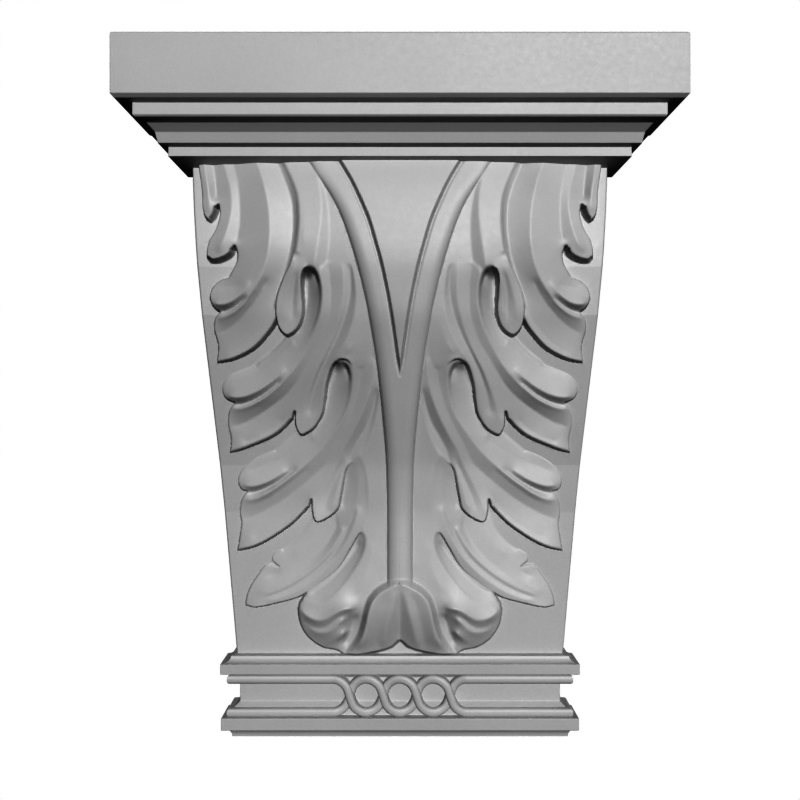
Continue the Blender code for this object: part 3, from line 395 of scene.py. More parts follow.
LOWER_GROUP = dict(soft=0.35, outline=[
    (0, ((44.3, -10.4), (48.9, -14.8), (53.1, -18.4), (57.5, -22.2))),
    # round lobe
    (0.5, ((57.5, -22.2, 0.1), (61.7, -23.9, 0.1), (66.8, -26.8, 0.2), (70.5, -30.2, 0.3),
           (72.8, -34.3, 0.5), (72.4, -37.9, 0.8), (71.1, -39.7, 0.9), (68.7, -40.4, 1))),
    # blade, out to its tip and back along its lower edge
    (0.6, ((68.7, -40.4, 1), (71.1, -43.4, 0.8), (72, -47, 0.7), (72.3, -50.6, 0.7),
           (71.6, -54.2, 0.8), (72.3, -60.5, 1), (73.4, -67.3, 1.4))),
    (1.5, ((73.4, -67.3, 1.8), (67.6, -66.2, 3.2), (61.2, -63.6, 3.6), (49.4, -55.9, 3.6),
           (44.9, -51.8, 3.5), (40.8, -47.3, 3.1))),
    # tongue beside the eye
    (0.9, ((40.8, -47.3, 3.1), (39.9, -44.1, 3.4), (39.8, -48.6, 4.2), (37.8, -54.2, 4.8),
           (33.2, -52.9, 4.5), (27.8, -48.3, 3.9), (26.4, -43.1, 3.7), (25.2, -36.6, 3.5),
           (23.9, -30.5, 3.3), (22, -27.6, 3.4), (20.2, -26.8, 3.8))),
    (0, ((20.2, -26.8), (15.6, -22), (12, -14), (9.6, -4), (8.5, 6), (9.6, 16),
         (12, 24), (18, 27), (25, 20), (33, 0.7), (44.3, -10.4))),
], lines=[
    # crown of the lobe, its underside and the crease below
    ((70, -32.3, 0.6), (62.7, -28.9, 0.7), (55.4, -25.9, 1.1), (46.4, -20.9, 1.5),
     (37.8, -15.3, 2.1), (33, -10.4, 3)),
    ((72, -37.4, 1.5), (65.8, -38, 2.6), (60.2, -36.4, 3), (54.8, -33.6, 3.05),
     (49.2, -29.6, 2.9)),
    ((70.4, -40.6, 0.3), (65.2, -40.6, 0.4), (59.8, -38.6, 0.9), (54.4, -35.6, 1.7),
     (49.4, -32, 2.4), (45, -28.6, 2.9)),
    # hollow, valley and swell of the blade
    ((71.6, -46.6, 0.9), (65.6, -46, 1.4), (59.6, -43.6, 1.8), (53, -39.2, 2.35),
     (46.6, -34.4, 2.8), (40.2, -29, 3.1)),
    ((72, -53.5, 0.6), (65, -51, 0.9), (58, -47.4, 1.2), (51, -43, 1.6),
     (44.6, -38, 2.1), (38.2, -32.6, 2.5), (32.6, -27.2, 2.95), (30, -22, 3.4),
     (27, -16, 3.9), (23.6, -10, 4.6), (20.8, -4, 5.15), (18.8, 2, 5.75),
     (17.2, 8, 6.35), (16.4, 13, 7),
     (16.2, 20, 7.9)),
    ((67.5, -61.5, 1.9), (58.5, -57.9, 2.45), (50.3, -52.4, 2.55), (43.5, -45.2, 2.6),
     (39, -38.5, 2.9)),
    # rim beside the next eye, which runs on as the ridge of the blade
    ((21, 20, 8.9), (20.4, 13, 7.6), (20.8, 8, 6.7), (22, 1, 5.75),
     (24.5, -5.5, 5.15), (27.8, -11.5, 4.5), (31.8, -17.2, 4), (36, -22.4, 3.75),
     (41, -27.2, 3.7), (47.4, -32.4, 3.7), (53.6, -37, 3.5), (60.3, -41.4, 3),
     (65.7, -43.9, 2.1), (71.6, -44.5, 1)),
    # tongue: two ridges with a groove between them; the right one runs on up as a vein
    ((38.2, -51.5, 4.8), (36.8, -46, 3.95), (34.3, -40.4, 3.5), (31.2, -34, 3.5),
     (28.1, -28, 3.65), (25.7, -22, 4.1), (22.2, -16, 4.85), (19, -10, 5.65),
     (16.2, -4, 6.4), (14, 2, 7), (12.5, 8, 7.35), (11.6, 14, 7.8),
     (11.6, 20, 8.2)),
    ((34.4, -49.5, 4.1), (33.4, -45.5, 3.6), (31.4, -40, 3.15), (28.6, -34, 3.1),
     (26, -28, 3.15), (24.6, -24, 3.5)),
    ((31.5, -49.5, 4.45), (29.7, -45.8, 4.2), (28.2, -39.5, 3.9), (26.2, -33.5, 3.65),
     (24.2, -28, 3.5), (23.2, -24.5, 3.6)),
    # crease on the vein's inner side
    ((22.6, -30, 2.9), (21.4, -23, 3), (18, -16, 3.4), (14.4, -10, 3.9),
     (12, -4, 4.5), (10.4, 2, 5.2), (9.9, 7, 6.3)),
])
EYE_2 = dict(soft=0.45, outline=[
    (0, ((27.8, 17.8), (25.8, 18.5), (22.8, 17.2), (20.9, 13), (20.4, 7.8), (21.3, 0.7),
         (24, -6.4), (28.2, -12.5), (33, -17), (38, -19.5), (42.5, -13.6))),
    (0.5, ((42.5, -13.6, 1.3), (38, -5, 1.4), (35.5, 6, 0.7), (32, 14, 1),
           (27.8, 17.8, 1.6))),
], lines=[
    ((22.2, 7.5, 5.4), (22.4, 11.5, 4.6), (23.6, 14.6, 3.5), (25.4, 16.6, 2.6)),
    ((26.6, 16.4, 1.8), (28.6, 12, 1), (30.6, 6.5, 0.7), (31.8, 0.5, 1),
     (33.4, -5.5, 1.5), (36.4, -11.5, 1.75), (39.6, -15.2, 1.6)),
])
MIDDLE_GROUP = dict(soft=0.35, outline=[
    (0, ((44.8, 38.6), (47.5, 33.1), (51.6, 28.5), (55.2, 24.6), (58.9, 21.4),
         (62.5, 18.7), (65.2, 15.6))),
    # round lobe
    (0.5, ((65.2, 15.6, 0.4), (70.2, 13.9, 0.2), (74.8, 11.8, 0.2), (77.3, 9.5, 0.3),
           (78.6, 6.9, 0.4), (78.7, 4.3, 0.6), (77.2, 1.4, 1.2), (73.4, -0.6, 1.5))),
    # blade
    (0.6, ((73.4, -0.6, 1.5), (75.6, -3.3, 1), (76.5, -6.8, 0.8), (76.6, -10.9, 0.8),
           (75.6, -16.7, 0.9), (76.3, -23, 1.4))),
    (1.5, ((76.3, -23, 1.8), (71.6, -21.9, 3), (66.6, -20.1, 3.5), (56.5, -15.7, 3.8),
           (51.5, -11.9, 3.7), (47.6, -7.7, 3.6))),
    # tongue
    (0.9, ((47.6, -7.7, 3.6), (46.7, -4.6, 4.2), (46.5, -11, 4.9), (44, -15.1, 4.9),
           (40.8, -13.9, 4.7), (37.9, -11.7, 4.7), (34, -5.2, 4.6), (32.9, 0.3, 5.2),
           (31.7, 8.1, 5.7), (28.8, 15.9, 6.7), (26, 18.2, 8.3), (23, 17.8, 8.7),
           (20.9, 15.8, 8.3))),
    (0, ((20.9, 15.8), (18.5, 13.5), (14.5, 14.5), (11.2, 26), (12.5, 38), (15.6, 48),
         (19, 57), (24, 61), (30, 61.5), (34.4, 58.5), (36.5, 53), (37, 45),
         (38.7, 39.5),
         (44.8, 38.6))),
], lines=[
    # crown of the lobe, its underside and the crease below
    ((75.8, 8, 0.9), (67.6, 10.6, 1.9), (61.3, 13.4, 2.5), (54.1, 18.4, 3.2),
     (47.8, 24, 3.7), (43, 29, 4.4)),
    ((77.8, 2.8, 2.1), (71.6, 1.8, 4.1), (66.6, 2.8, 4.8), (60.4, 5.8, 5.3),
     (54.6, 10, 5.5), (49.2, 15.2, 5.6)),
    ((75.4, -1, 0.7), (70.4, -1, 1.3), (65.4, 0.4, 2.1), (60.2, 3.2, 3.2),
     (55.2, 7, 4.2), (51, 10.8, 4.9)),
    # hollow, valley and swell of the blade
    ((76, -6.4, 0.9), (70, -5.4, 1.9), (64, -3.2, 2.7), (58.4, -0.1, 3.6),
     (52.8, 4.2, 4.4), (47.8, 8.8, 5), (43.6, 14, 5.4)),
    ((76.2, -11.5, 0.6), (69, -9.2, 0.9), (62, -5.4, 1.6), (56, -1.4, 2.4),
     (50, 3.4, 3.5), (45.8, 8.2, 4.35), (42.2, 14, 5.1), (38.5, 20, 5.75),
     (34.6, 26, 6.35), (32.2, 32, 6.8), (30.4, 38, 7.2), (29.7, 44, 7.6),
     (29.8, 50, 8.1), (30.4, 56, 8.7), (31, 61, 9)),
    ((71.4, -18.4, 1.7), (63.2, -15.4, 2.6), (56.5, -11.5, 2.75), (51, -6, 2.95)),
    # rim beside the next eye, which runs on as the ridge of the blade
    ((35.6, 61, 10.4), (34.6, 56.5, 9.9), (33.5, 51, 9.2), (33.2, 44, 8.4),
     (34, 38, 7.75),
     (35.8, 32, 7.1), (38.6, 26.5, 6.55), (41.6, 21, 6.15), (44.8, 16, 6),
     (48.8, 11, 5.9), (53.8, 6.4, 5.6), (59.6, 1.8, 5), (64.8, -1, 4.1),
     (70.3, -3, 2.8), (76, -3.6, 1.2)),
    # tongue and veins
    ((44.6, -11.5, 4.9), (42.9, -4, 4.8), (41, 2, 5.15), (38.6, 8, 5.75),
     (36, 14, 6.35), (32.7, 20, 6.85), (29.9, 26, 7.2), (27.6, 32, 7.5),
     (25.8, 38, 7.9), (24.6, 44, 8.4), (24.2, 50, 8.95), (24.6, 56, 9.35),
     (25.2, 61, 9.45)),
    ((40.4, -7, 4.3), (39.6, -2, 4.3), (38.2, 4, 4.6), (36.2, 10, 5.1),
     (33.6, 16, 5.7), (30.4, 22, 6.3), (27.2, 28, 6.7), (24.6, 34, 6.95),
     (22.6, 40, 7.3), (21.4, 46, 7.8), (20.9, 52, 8.4), (21.4, 58, 9.15),
     (22.2, 61.5, 9.55)),
    ((38.4, -9.5, 4.7), (36, -4, 4.8), (34.6, 2, 5.35), (33.4, 8, 5.95), (31.4, 14, 6.6),
     (28.2, 19.2, 7.9), (24.8, 24, 8.7), (21.9, 30, 8.9), (20, 36, 8.9),
     (19.1, 42, 8.95), (19.1, 48, 9.2), (19.8, 54, 9.5), (20.6, 60.5, 9.65)),
    ((24, 20, 9.1), (20.8, 24.5, 9), (18.3, 31, 8.95), (17, 38, 8.95)),
])
EYE_1 = dict(soft=0.45, outline=[
    (0, ((41.6, 57.8), (39, 58.8), (36.1, 57.4), (34.2, 53.4), (33, 47.7), (33.2, 41.6),
         (34.8, 35), (37.6, 29), (41, 25), (45.6, 23), (49.2, 29.4))),
    (0.5, ((49.2, 29.4, 1.2), (49.5, 34, 0.9), (47.5, 45, 0.3), (44.5, 54, 0.5),
           (41.6, 57.8, 0.9))),
], lines=[
    ((35.2, 48, 6), (35.7, 52, 5), (36.9, 55, 3.8), (38.6, 56.9, 2.6)),
    ((39.8, 56.6, 1.2), (40.2, 51.5, 0.5), (40.3, 46, 0.3), (41.2, 40, 0.8),
     (43, 34.6, 1.5), (46, 29.6, 1.9)),
])
UPPER_GROUP = dict(soft=0.35, outline=[
    # small lobe at the panel's edge
    (0.8, ((89.7, 110.7, 5.2), (89.1, 103.7, 5.2), (87.9, 98, 5.8), (86.7, 90.2, 5.7),
           (86.3, 84.4, 5.2), (85.1, 80.3, 4.4), (82.7, 78.4, 4.2))),
    (1.8, ((82.7, 78.4, 4.2), (80.9, 80.2, 4.8), (79.7, 82.9, 5.2), (79.2, 85.4, 5.6))),
    # second lobe, with a thick hanging end
    (0.9, ((79.2, 85.4, 5.6), (78.6, 82, 6), (79.2, 78, 5.9), (80.8, 74, 5.4),
           (83, 70.1, 5), (84.1, 65.8, 4.5), (84.1, 62.3, 3.9))),
    (1.8, ((84.1, 62.3, 3.9), (82.6, 60.6, 4.2), (79.7, 60.3, 4.6), (75.3, 61.7, 5.1),
           (72.4, 64.1, 5.3), (71.7, 66.9, 5.3))),
    (1.1, ((71.7, 66.9, 5.3), (70.8, 63.8, 4.9), (71.3, 60.3, 4.6), (73.1, 56.9, 4.2),
           (74.7, 54, 3.6))),
    # round lobe
    (0.7, ((74.7, 54, 3.6), (78, 53, 2.8), (80.8, 50.9, 2.4), (82.4, 48.5, 2.4),
           (83, 45.5, 2.7), (82, 42.2, 2.8), (80.3, 40.1, 2.4), (78.6, 39.1, 1.8))),
    # blade
    (0.6, ((78.6, 39.1, 1.8), (80.4, 37.3, 1.5), (81.3, 34.7, 1.4), (81.5, 31.3, 1.2),
           (80.6, 27.8, 1.1), (79.9, 24.4, 1.4), (80.7, 17, 1.8))),
    (1.3, ((80.7, 17, 2.2), (74.5, 18, 3.9), (69.1, 20, 4.4), (63.6, 23.2, 4.8),
           (57.9, 28.9, 5.1), (54, 34.4, 5.2), (52.1, 40.4, 5.3))),
    # foot of the step up to the inner leaf
    (0, ((52.1, 40.4), (50.2, 45.5), (47.4, 52.4), (44.2, 63.1), (42.8, 73.2), (42.6, 80.7),
         (43.6, 89.8), (46.4, 97.6), (49.2, 103.6), (52.2, 109.3))),
    (0.3, ((52.2, 109.3, 7.3), (69.9, 109.9, 7.8), (89.7, 110.7, 5.2))),
], lines=[
    # crests of the two small lobes and the groove between them
    ((86.9, 109.2, 5.8), (86.2, 106.1, 6), (84.6, 98, 6.9), (83.3, 91.5, 7),
     (82.9, 86, 6.3), (83.4, 80.8, 5.1)),
    ((83, 109.2, 4.3), (82.4, 106.1, 4.5), (81.2, 98, 4.9), (80.4, 92, 4.8),
     (80, 86.4, 4.2)),
    ((79.2, 109.2, 6.2), (78, 106.1, 6.4), (75.3, 98, 6.95), (73.7, 92, 7.25),
     (73, 86, 7.3), (73.3, 80, 7.3), (74.7, 74, 7.1), (77, 68, 6.5),
     (79.6, 63.4, 5.2)),
    ((74.8, 109.2, 6.2), (73, 104, 6.5), (71, 97, 6.9), (70, 91.5, 6.85),
     (69.5, 86, 6.65), (69.3, 80, 6.4), (69.6, 74, 6), (71, 68, 5.2)),
    # long main ridge, which runs on out along the blade
    ((65, 109.2, 8.7), (64, 107, 9), (62, 103, 9.5), (60, 98, 10.05),
     (58.3, 92, 10.3), (57, 86, 10.1), (56.2, 80, 9.95), (55.9, 74, 9.75),
     (56.1, 68, 9.4), (57, 62, 8.8), (58.8, 56, 8.2), (61, 51.4, 7.8),
     (63.3, 47.8, 7.25), (66, 44.4, 6.6), (69.4, 40.9, 5.7), (73, 38.4, 4.6),
     (77, 36.7, 3.2), (81, 36, 1.8)),
    # crown of the round lobe, its underside and the crease below
    ((80.4, 49, 2.9), (76, 49.6, 3.7), (71.2, 50.2, 4.9), (66.6, 52.6, 6.4)),
    ((82.4, 43.6, 3.8), (78, 42, 5.1), (73.8, 42.8, 5.9), (70, 45.2, 6.5),
     (66.8, 48.4, 7), (64, 52.6, 7.5)),
    ((80.2, 39.4, 1), (75.8, 39.6, 2.2), (71.8, 41.2, 3.5), (68.4, 43.6, 4.7),
     (65.6, 46.6, 5.9)),
    # hollow, valley and swell of the blade
    ((80.8, 33.6, 1.4), (76.4, 34.6, 2.5), (72.2, 36.8, 3.6), (68.5, 39.8, 4.7),
     (64.9, 43.6, 5.7), (61.6, 48.4, 6.5)),
    ((81.2, 29.2, 1.1), (76, 31.4, 1.8), (71.2, 34.6, 2.8), (67.2, 38.4, 3.8),
     (63.4, 42.6, 4.8), (59.8, 48, 5.8), (56.6, 54, 6.5)),
    ((78, 20.6, 2.7), (71, 23.4, 3.5), (64, 28.2, 4.1), (59, 33.8, 4.5),
     (56, 39, 4.8), (53.8, 45, 5.1), (51.4, 51, 5.5), (49.8, 56, 5.9),
     (47.9, 62, 6.6), (46.6, 68, 7.15), (46, 74, 7.4), (46, 80, 7.75),
     (46.5, 86, 8), (48.2, 92, 8.3), (50.6, 98, 8.2), (53, 103.5, 7.9),
     (55.6, 109, 7.5)),
])
UPPER_TONGUE = dict(soft=0.4, outline=[
    (0.9, ((46.2, 62, 10.1), (47.8, 58, 9.3), (50, 54, 8.4), (51.7, 50, 7.8),
           (53.1, 46, 7.4), (53.8, 42, 7.2), (53.9, 37.5, 7), (53.2, 33, 6.9),
           (51.4, 29.8, 6.8), (49.2, 28.4, 6.8), (46.6, 29.4, 6.6),
           (43.8, 32.2, 6.3), (42.1, 36, 6.5), (41.5, 39.4, 6.7), (41.7, 45.7, 7.5),
           (41.9, 51.2, 8.9), (41.6, 54.4, 9.6), (40.6, 56.8, 10.1), (38.9, 58.2, 10.2))),
    (0, ((38.9, 58.2), (38.8, 60.4), (40.6, 62.8), (43.2, 64.6), (45.6, 64.2), (46.2, 62))),
], lines=[
    ((50.4, 34.3, 7), (50, 41, 7.35), (48, 48.6, 8.15), (45.9, 55, 9.3),
     (44.6, 60, 10.1)),
    ((46.6, 34, 6.5), (46.3, 41, 6.5), (46, 47, 7.2), (45, 52, 8.2),
     (44, 57, 9.4)),
    ((44.5, 35.5, 6.8), (44, 43, 7.4), (43.8, 49, 8.5), (42.9, 55.5, 9.9)),
])
BUD = dict(soft=0.7, outline=[
    # collar
    (2.6, ((-1.4, -78.6, 10.2), (1, -78.7, 10.2), (2.6, -78.9, 10.2), (5.7, -80.1, 10),
           (11.1, -83.3, 9.8), (14.8, -88, 9.6), (16.5, -93.2, 9.2), (17.6, -98.5, 8.5),
           (19.4, -104.3, 7.2), (22.8, -109.6, 4.8), (26.5, -113.6, 2.4))),
    (1.8, ((26.5, -113.6, 2.4), (22.4, -114.6, 3.6), (18.1, -114.7, 3.8), (14.3, -114.2, 2.8),
           (9.8, -113.4, 2.8), (3.1, -111.1, 2.8), (0.6, -108.9, 2.6), (-1.4, -107.6, 3))),
    (0.2, ((-1.4, -107.6, 3), (-1.4, -92.1, 8.6), (-1.4, -78.6, 10.2))),
], lines=[
    # rim inside the collar, which is the outer petal's ridge
    ((-1.4, -81.4, 10.2), (0, -81.4, 10.2), (1.8, -81.6, 10.2), (5.3, -82.7, 10.15),
     (9.7, -85.6, 10.25), (12.6, -90.1, 10.4), (13.9, -95.6, 10.05), (14.8, -101, 9),
     (16.6, -106.5, 7.7), (19.5, -111.4, 5.2)),
    # inner petal and the groove beside it
    ((0.9, -82.5, 10.2), (2.6, -87.4, 10.1), (4.2, -94.3, 9.6), (6, -101, 8.2),
     (7.2, -107, 6.2), (7.8, -111, 4)),
    ((4.6, -84.5, 10), (6.4, -88, 9.6), (8.2, -94, 9.1), (9.7, -100, 7.8),
     (10.6, -106, 5.9), (11.4, -111.6, 3.4)),
    # groove on the axis
    ((0, -82.8, 10), (0, -88, 9), (0, -94, 7.6), (0, -100, 5.9), (0, -107, 3)),
])
STEM_OUTER = ((47.4, 117), (43.4, 109.8), (39.9, 105.1), (34, 95.8), (28.6, 86.9), (24.4, 77.8),
              (18.8, 60.5), (14.5, 43.4), (12.2, 30.5), (10.2, 18), (7.5, -8.2), (6.2, -24),
              (5.8, -35), (5.5, -71), (5.5, -97))
STEM_INNER = ((33.5, 115), (30, 109.6), (26.2, 103.2), (21.6, 95.2), (17.5, 86.4),
              (13.9, 77.6), (11.3, 68.9), (8.9, 60.2), (6.9, 51.6), (5.2, 43), (3.8, 34.6),
              (2.6, 26.4), (1.4, 17.9), (0, 11.5))
STEM_FOOT = -88


def lay_stem(relief):
    """The forked stem, a round rib, the field between its arms and the groove along it."""
    outer, inner = curve(STEM_OUTER, 1.0), curve(STEM_INNER, 1.0)
    to_outer, _ = nearest(relief.x, relief.z, outer)
    to_inner, _ = nearest(relief.x, relief.z, inner)
    edge_x = np.interp(relief.z, outer[::-1, 1], outer[::-1, 0])
    field_x = np.interp(relief.z, inner[::-1, 1], inner[::-1, 0], left=-9)
    stem = (relief.x < edge_x) & (relief.z > STEM_FOOT - 6)
    field = relief.x < field_x
    crest = blur(np.interp(relief.z, *np.transpose(STEM_CREST)), CREST_EASE / GRID)
    t = np.clip(to_outer / STEM_RADIUS, 0, 1)
    rib = relief.height + (crest - relief.height) * np.sqrt(1 - (1 - t) ** 2)
    groove = FORK_GROOVE * np.clip((relief.z - GROOVE_FOOT) / GROOVE_FADE, 0, 1)
    rib -= groove * np.clip((GROOVE_REACH - to_inner) / GROOVE_WALL, 0, 1)
    relief.height = np.where(stem, rib, relief.height)
    step = (FIELD_RISE + groove) * swing(np.clip(to_inner / FIELD_WALL, 0, 1)) - groove
    relief.height = np.where(field, crest + step, relief.height)


def carve():
    """The whole height field of one half, laid from the lowest shape to the highest."""
    relief = Relief()
    for shape in (GROUND, EYE_4, BOTTOM_LEAF, EYE_3, LOWER_GROUP, EYE_2, MIDDLE_GROUP, EYE_1,
                  UPPER_GROUP, UPPER_TONGUE):
        relief.lay(shape)
    lay_stem(relief)
    relief.lay(BUD)
    return relief


# ------------------------------------------------------------------ meshes
def mesh_object(name, vertices, faces):
    """Object of a mesh given in mm."""
    mesh = bpy.data.meshes.new(name)
    mesh.from_pydata([tuple(MM * c for c in v) for v in vertices], [], faces)
    mesh.validate()
    piece = bpy.data.objects.new(name, mesh)
    bpy.context.scene.collection.objects.link(piece)
    return piece


def settle(piece):
    """Apply the object's modifiers to its mesh."""
    graph = bpy.context.evaluated_depsgraph_get()
    mesh = bpy.data.meshes.new_from_object(piece.evaluated_get(graph), depsgraph=graph)
    piece.modifiers.clear()
    old, piece.data = piece.data, mesh
    bpy.data.meshes.remove(old)


def panel_half(relief):
    """Front of the panel's right half as a grid that narrows with the panel, then thinned."""
    z = np.arange(PANEL_FOOT - 1.5, FILLET_2_FOOT + 1.1, GRID)
    width = PANEL_HALF_WIDTH + PANEL_TAPER * z
    inner = np.arange(0, PANEL_HALF_WIDTH - EDGE_EASE, GRID) / PANEL_HALF_WIDTH
    turn = np.linspace(0, math.pi / 2, EDGE_STEPS)
    ease = EDGE_EASE * (1 - np.sin(turn))
    span = (1 - EDGE_EASE / PANEL_HALF_WIDTH) * (1 - EDGE_GAP)
    share = np.concatenate([inner / inner[-1] * span, 1 - ease / PANEL_HALF_WIDTH])
    drop = np.concatenate([np.zeros(len(inner)), EDGE_EASE * (1 - np.cos(turn))])
    x, z_grid = share[None, :] * width[:, None], np.repeat(z[:, None], len(share), 1)
    i = (x - relief.x_line[0]) / GRID
    j = (z_grid - relief.z_line[0]) / GRID
    i0, j0 = i.astype(int), j.astype(int)
    i0, j0 = i0.clip(0, len(relief.x_line) - 2), j0.clip(0, len(relief.z_line) - 2)
    a, b, h = i - i0, j - j0, relief.height
    height = ((1 - a) * (1 - b) * h[j0, i0] + a * (1 - b) * h[j0, i0 + 1]
              + (1 - a) * b * h[j0 + 1, i0] + a * b * h[j0 + 1, i0 + 1])
    depth = np.interp(z_grid, relief.z_line, relief.ground[:, 0]) + height - drop
    vertices = np.stack([x, -depth, z_grid], -1).reshape(-1, 3)
    rows, columns = x.shape
    first = (np.arange(rows - 1)[:, None] * columns + np.arange(columns - 1)).ravel()
    faces = np.stack([first, first + 1, first + columns + 1, first + columns], -1)
    piece = mesh_object("panel_half", vertices.tolist(), faces.tolist())
    thin = piece.modifiers.new("thin", "DECIMATE")
    thin.ratio = RELIEF_TRIANGLES / 2 / (2 * len(faces))
    settle(piece)
    return piece


def panel_solid(relief):
    """The mirrored panel, closed by sides that run back past the wall plane."""
    half = panel_half(relief)
    shape = bmesh.new()
    shape.from_mesh(half.data)
    bpy.data.objects.remove(half)
    for v in shape.verts:
        if abs(v.co.x) < 0.05 * MM:
            v.co.x = 0
    bmesh.ops.mirror(shape, geom=shape.verts[:] + shape.edges[:] + shape.faces[:],
                     axis="X", merge_dist=1e-7)
    rim = [e for e in shape.edges if e.is_boundary]
    for grown in bmesh.ops.extrude_edge_only(shape, edges=rim)["geom"]:
        if isinstance(grown, bmesh.types.BMVert):
            grown.co.y = BACK * MM
    back = [e for e in shape.edges if e.is_boundary]
    bmesh.ops.edgeloop_fill(shape, edges=back)
    bmesh.ops.recalc_face_normals(shape, faces=shape.faces[:])
    mesh = bpy.data.meshes.new("panel")
    shape.to_mesh(mesh)
    shape.free()
    piece = bpy.data.objects.new("panel", mesh)
    bpy.context.scene.collection.objects.link(piece)
    return piece


def rounded(profile, radius, steps=3):
    """A polyline with each corner replaced by a small arc."""
    p = [np.array(q, float) for q in profile]
    out = [p[0]]
    for a, b, c in zip(p, p[1:], p[2:]):
        before, after = np.linalg.norm(a - b), np.linalg.norm(c - b)
        way_in, way_out = (a - b) / before, (c - b) / after
        if np.dot(way_in, way_out) < -0.97:
            out.append(b)
            continue
        reach = min(radius, 0.45 * before, 0.45 * after)
        for t in np.linspace(0, 1, steps + 1):
            out.append(b + way_in * reach * (1 - t) ** 2 + way_out * reach * t ** 2)
    return out + [p[-1]]


def hollow(start, end, deep_last, count=12):
    """Quarter hollow between two places of (height, projection)."""
    out = []
    for k in range(count + 1):
        angle = math.pi / 2 * k / count
        rise, run = math.sin(angle), 1 - math.cos(angle)
        if deep_last:
            rise, run = run, rise
        out.append((start[0] + (end[0] - start[0]) * rise, start[1] + (end[1] - start[1]) * run))
    return out


def moulding(name, profile):
    """A moulding that runs across the front and returns along both sides past the wall."""
    vertices, faces = [], []
    e = MOULDING_EASE
    turn = [(e * (1 - math.sin(t)), e * (1 - math.cos(t)))
            for t in np.linspace(0, math.pi / 2, 4)]
    for z, depth in profile:
        w = depth + SIDE_OFFSET
        right = [(w, BACK)] + [(w - b, -depth + a) for a, b in turn]
        ring = right + [(-x, y) for x, y in reversed(right)]
        vertices += [(x, y, z) for x, y in ring]
    n = 2 * (len(turn) + 1)
    last = n * (len(profile) - 1)
    for a in range(0, last, n):
        for b in range(n):
            c = (b + 1) % n
            faces.append((a + b, a + b + n, a + c + n, a + c))
    faces.append(tuple(range(n)))
    faces.append(tuple(range(last + n - 1, last - 1, -1)))
    return mesh_object(name, vertices, faces)


def cap_profile():
    """Profile of the cap from the panel up: lower fillet, cavetto, upper fillet and abacus."""
    points = [(FILLET_2_FOOT, FILLET_2_FACE), (FILLET_2_TOP, FILLET_2_FACE)]
    points += hollow((CAVETTO_FOOT, CAVETTO_IN), (CAVETTO_TOP, CAVETTO_OUT), False, 3)
    points += [(FILLET_1_FOOT, FILLET_1_FACE), (FILLET_1_TOP, FILLET_1_FACE),
               (FILLET_1_TOP, DEPTH - ABACUS_CHAMFER), (ABACUS_FOOT, DEPTH)]
    points = rounded([(FILLET_2_FOOT, FILLET_2_FACE - CAP_TUCK)] + points
                     + [(ABACUS_FOOT + 8, DEPTH)], MOULDING_EASE)
    for t in np.linspace(0, math.pi / 2, 6):
        points.append((HALF_HEIGHT - ABACUS_EDGE * (1 - math.sin(t)),
                       DEPTH - ABACUS_EDGE * (1 - math.cos(t))))
    return points


def foot_profile():
    """Profile of the foot from the bottom up: scotia, fillet, band, fillet and cove."""
    points = hollow((-HALF_HEIGHT, SCOTIA_IN), (FILLET_4_FOOT, SCOTIA_OUT), False)
    points += [(FILLET_4_FOOT, FILLET_4_FACE), (FILLET_4_TOP, FILLET_4_FACE),
               (FILLET_4_TOP, BAND_EDGE), (BAND_FOOT, BAND_EDGE), (BAND_LOWER, BAND_FLOOR),
               (BAND_UPPER, BAND_FLOOR), (BAND_TOP, BAND_EDGE), (FILLET_3_FOOT, BAND_EDGE),
               (FILLET_3_FOOT, FILLET_3_FACE), (COVE_FOOT, FILLET_3_FACE)]
    points += hollow((COVE_FOOT, COVE_OUT), (PANEL_FOOT, COVE_IN), True)
    points.append((PANEL_FOOT, PANEL_PROFILE[1][1] - FOOT_TUCK))
    return rounded(points, MOULDING_EASE)


def ribbon_path(first):
    """One ribbon of the plait across the front: (x, height, lift) from left to right.

    first says on which level it starts. Between two levels it follows an arc, a straight and
    an arc, and crosses the other ribbon half way, over it on the way down.
    """
    half_rise = (RIBBON_LEVELS[0] - RIBBON_LEVELS[1]) / 2
    middle = sum(RIBBON_LEVELS) / 2
    sine, cosine = math.sin(CROSSING_ANGLE), math.cos(CROSSING_ANGLE)
    straight = (half_rise - RING_PITCH / 2 * (1 - cosine) / sine) / (
        sine - cosine * (1 - cosine) / sine)
    radius = (RING_PITCH / 2 - straight * cosine) / sine
    side, points = first, []
    for k in range(RING_COUNT + 1):
        crossing = (k - RING_COUNT / 2) * RING_PITCH
        over = 1 if side > 0 else -1
        half = [(radius * math.sin(t) - RING_PITCH / 2, half_rise - radius * (1 - math.cos(t)))
                for t in np.linspace(0, CROSSING_ANGLE, 13)]
        end = np.array(half[-1])
        half += [tuple(end * (1 - t)) for t in (0.33, 0.66)]
        way = half + [(0, 0)] + [(-x, -rise) for x, rise in reversed(half)]
        for x, rise in way[:-1]:
            lift = over * math.cos(math.pi * x / RING_PITCH)
            points.append((crossing + x, middle + side * rise, lift))
        side = -side
    points.append(((RING_COUNT + 1) / 2 * RING_PITCH, middle + side * half_rise, 0))
    return points


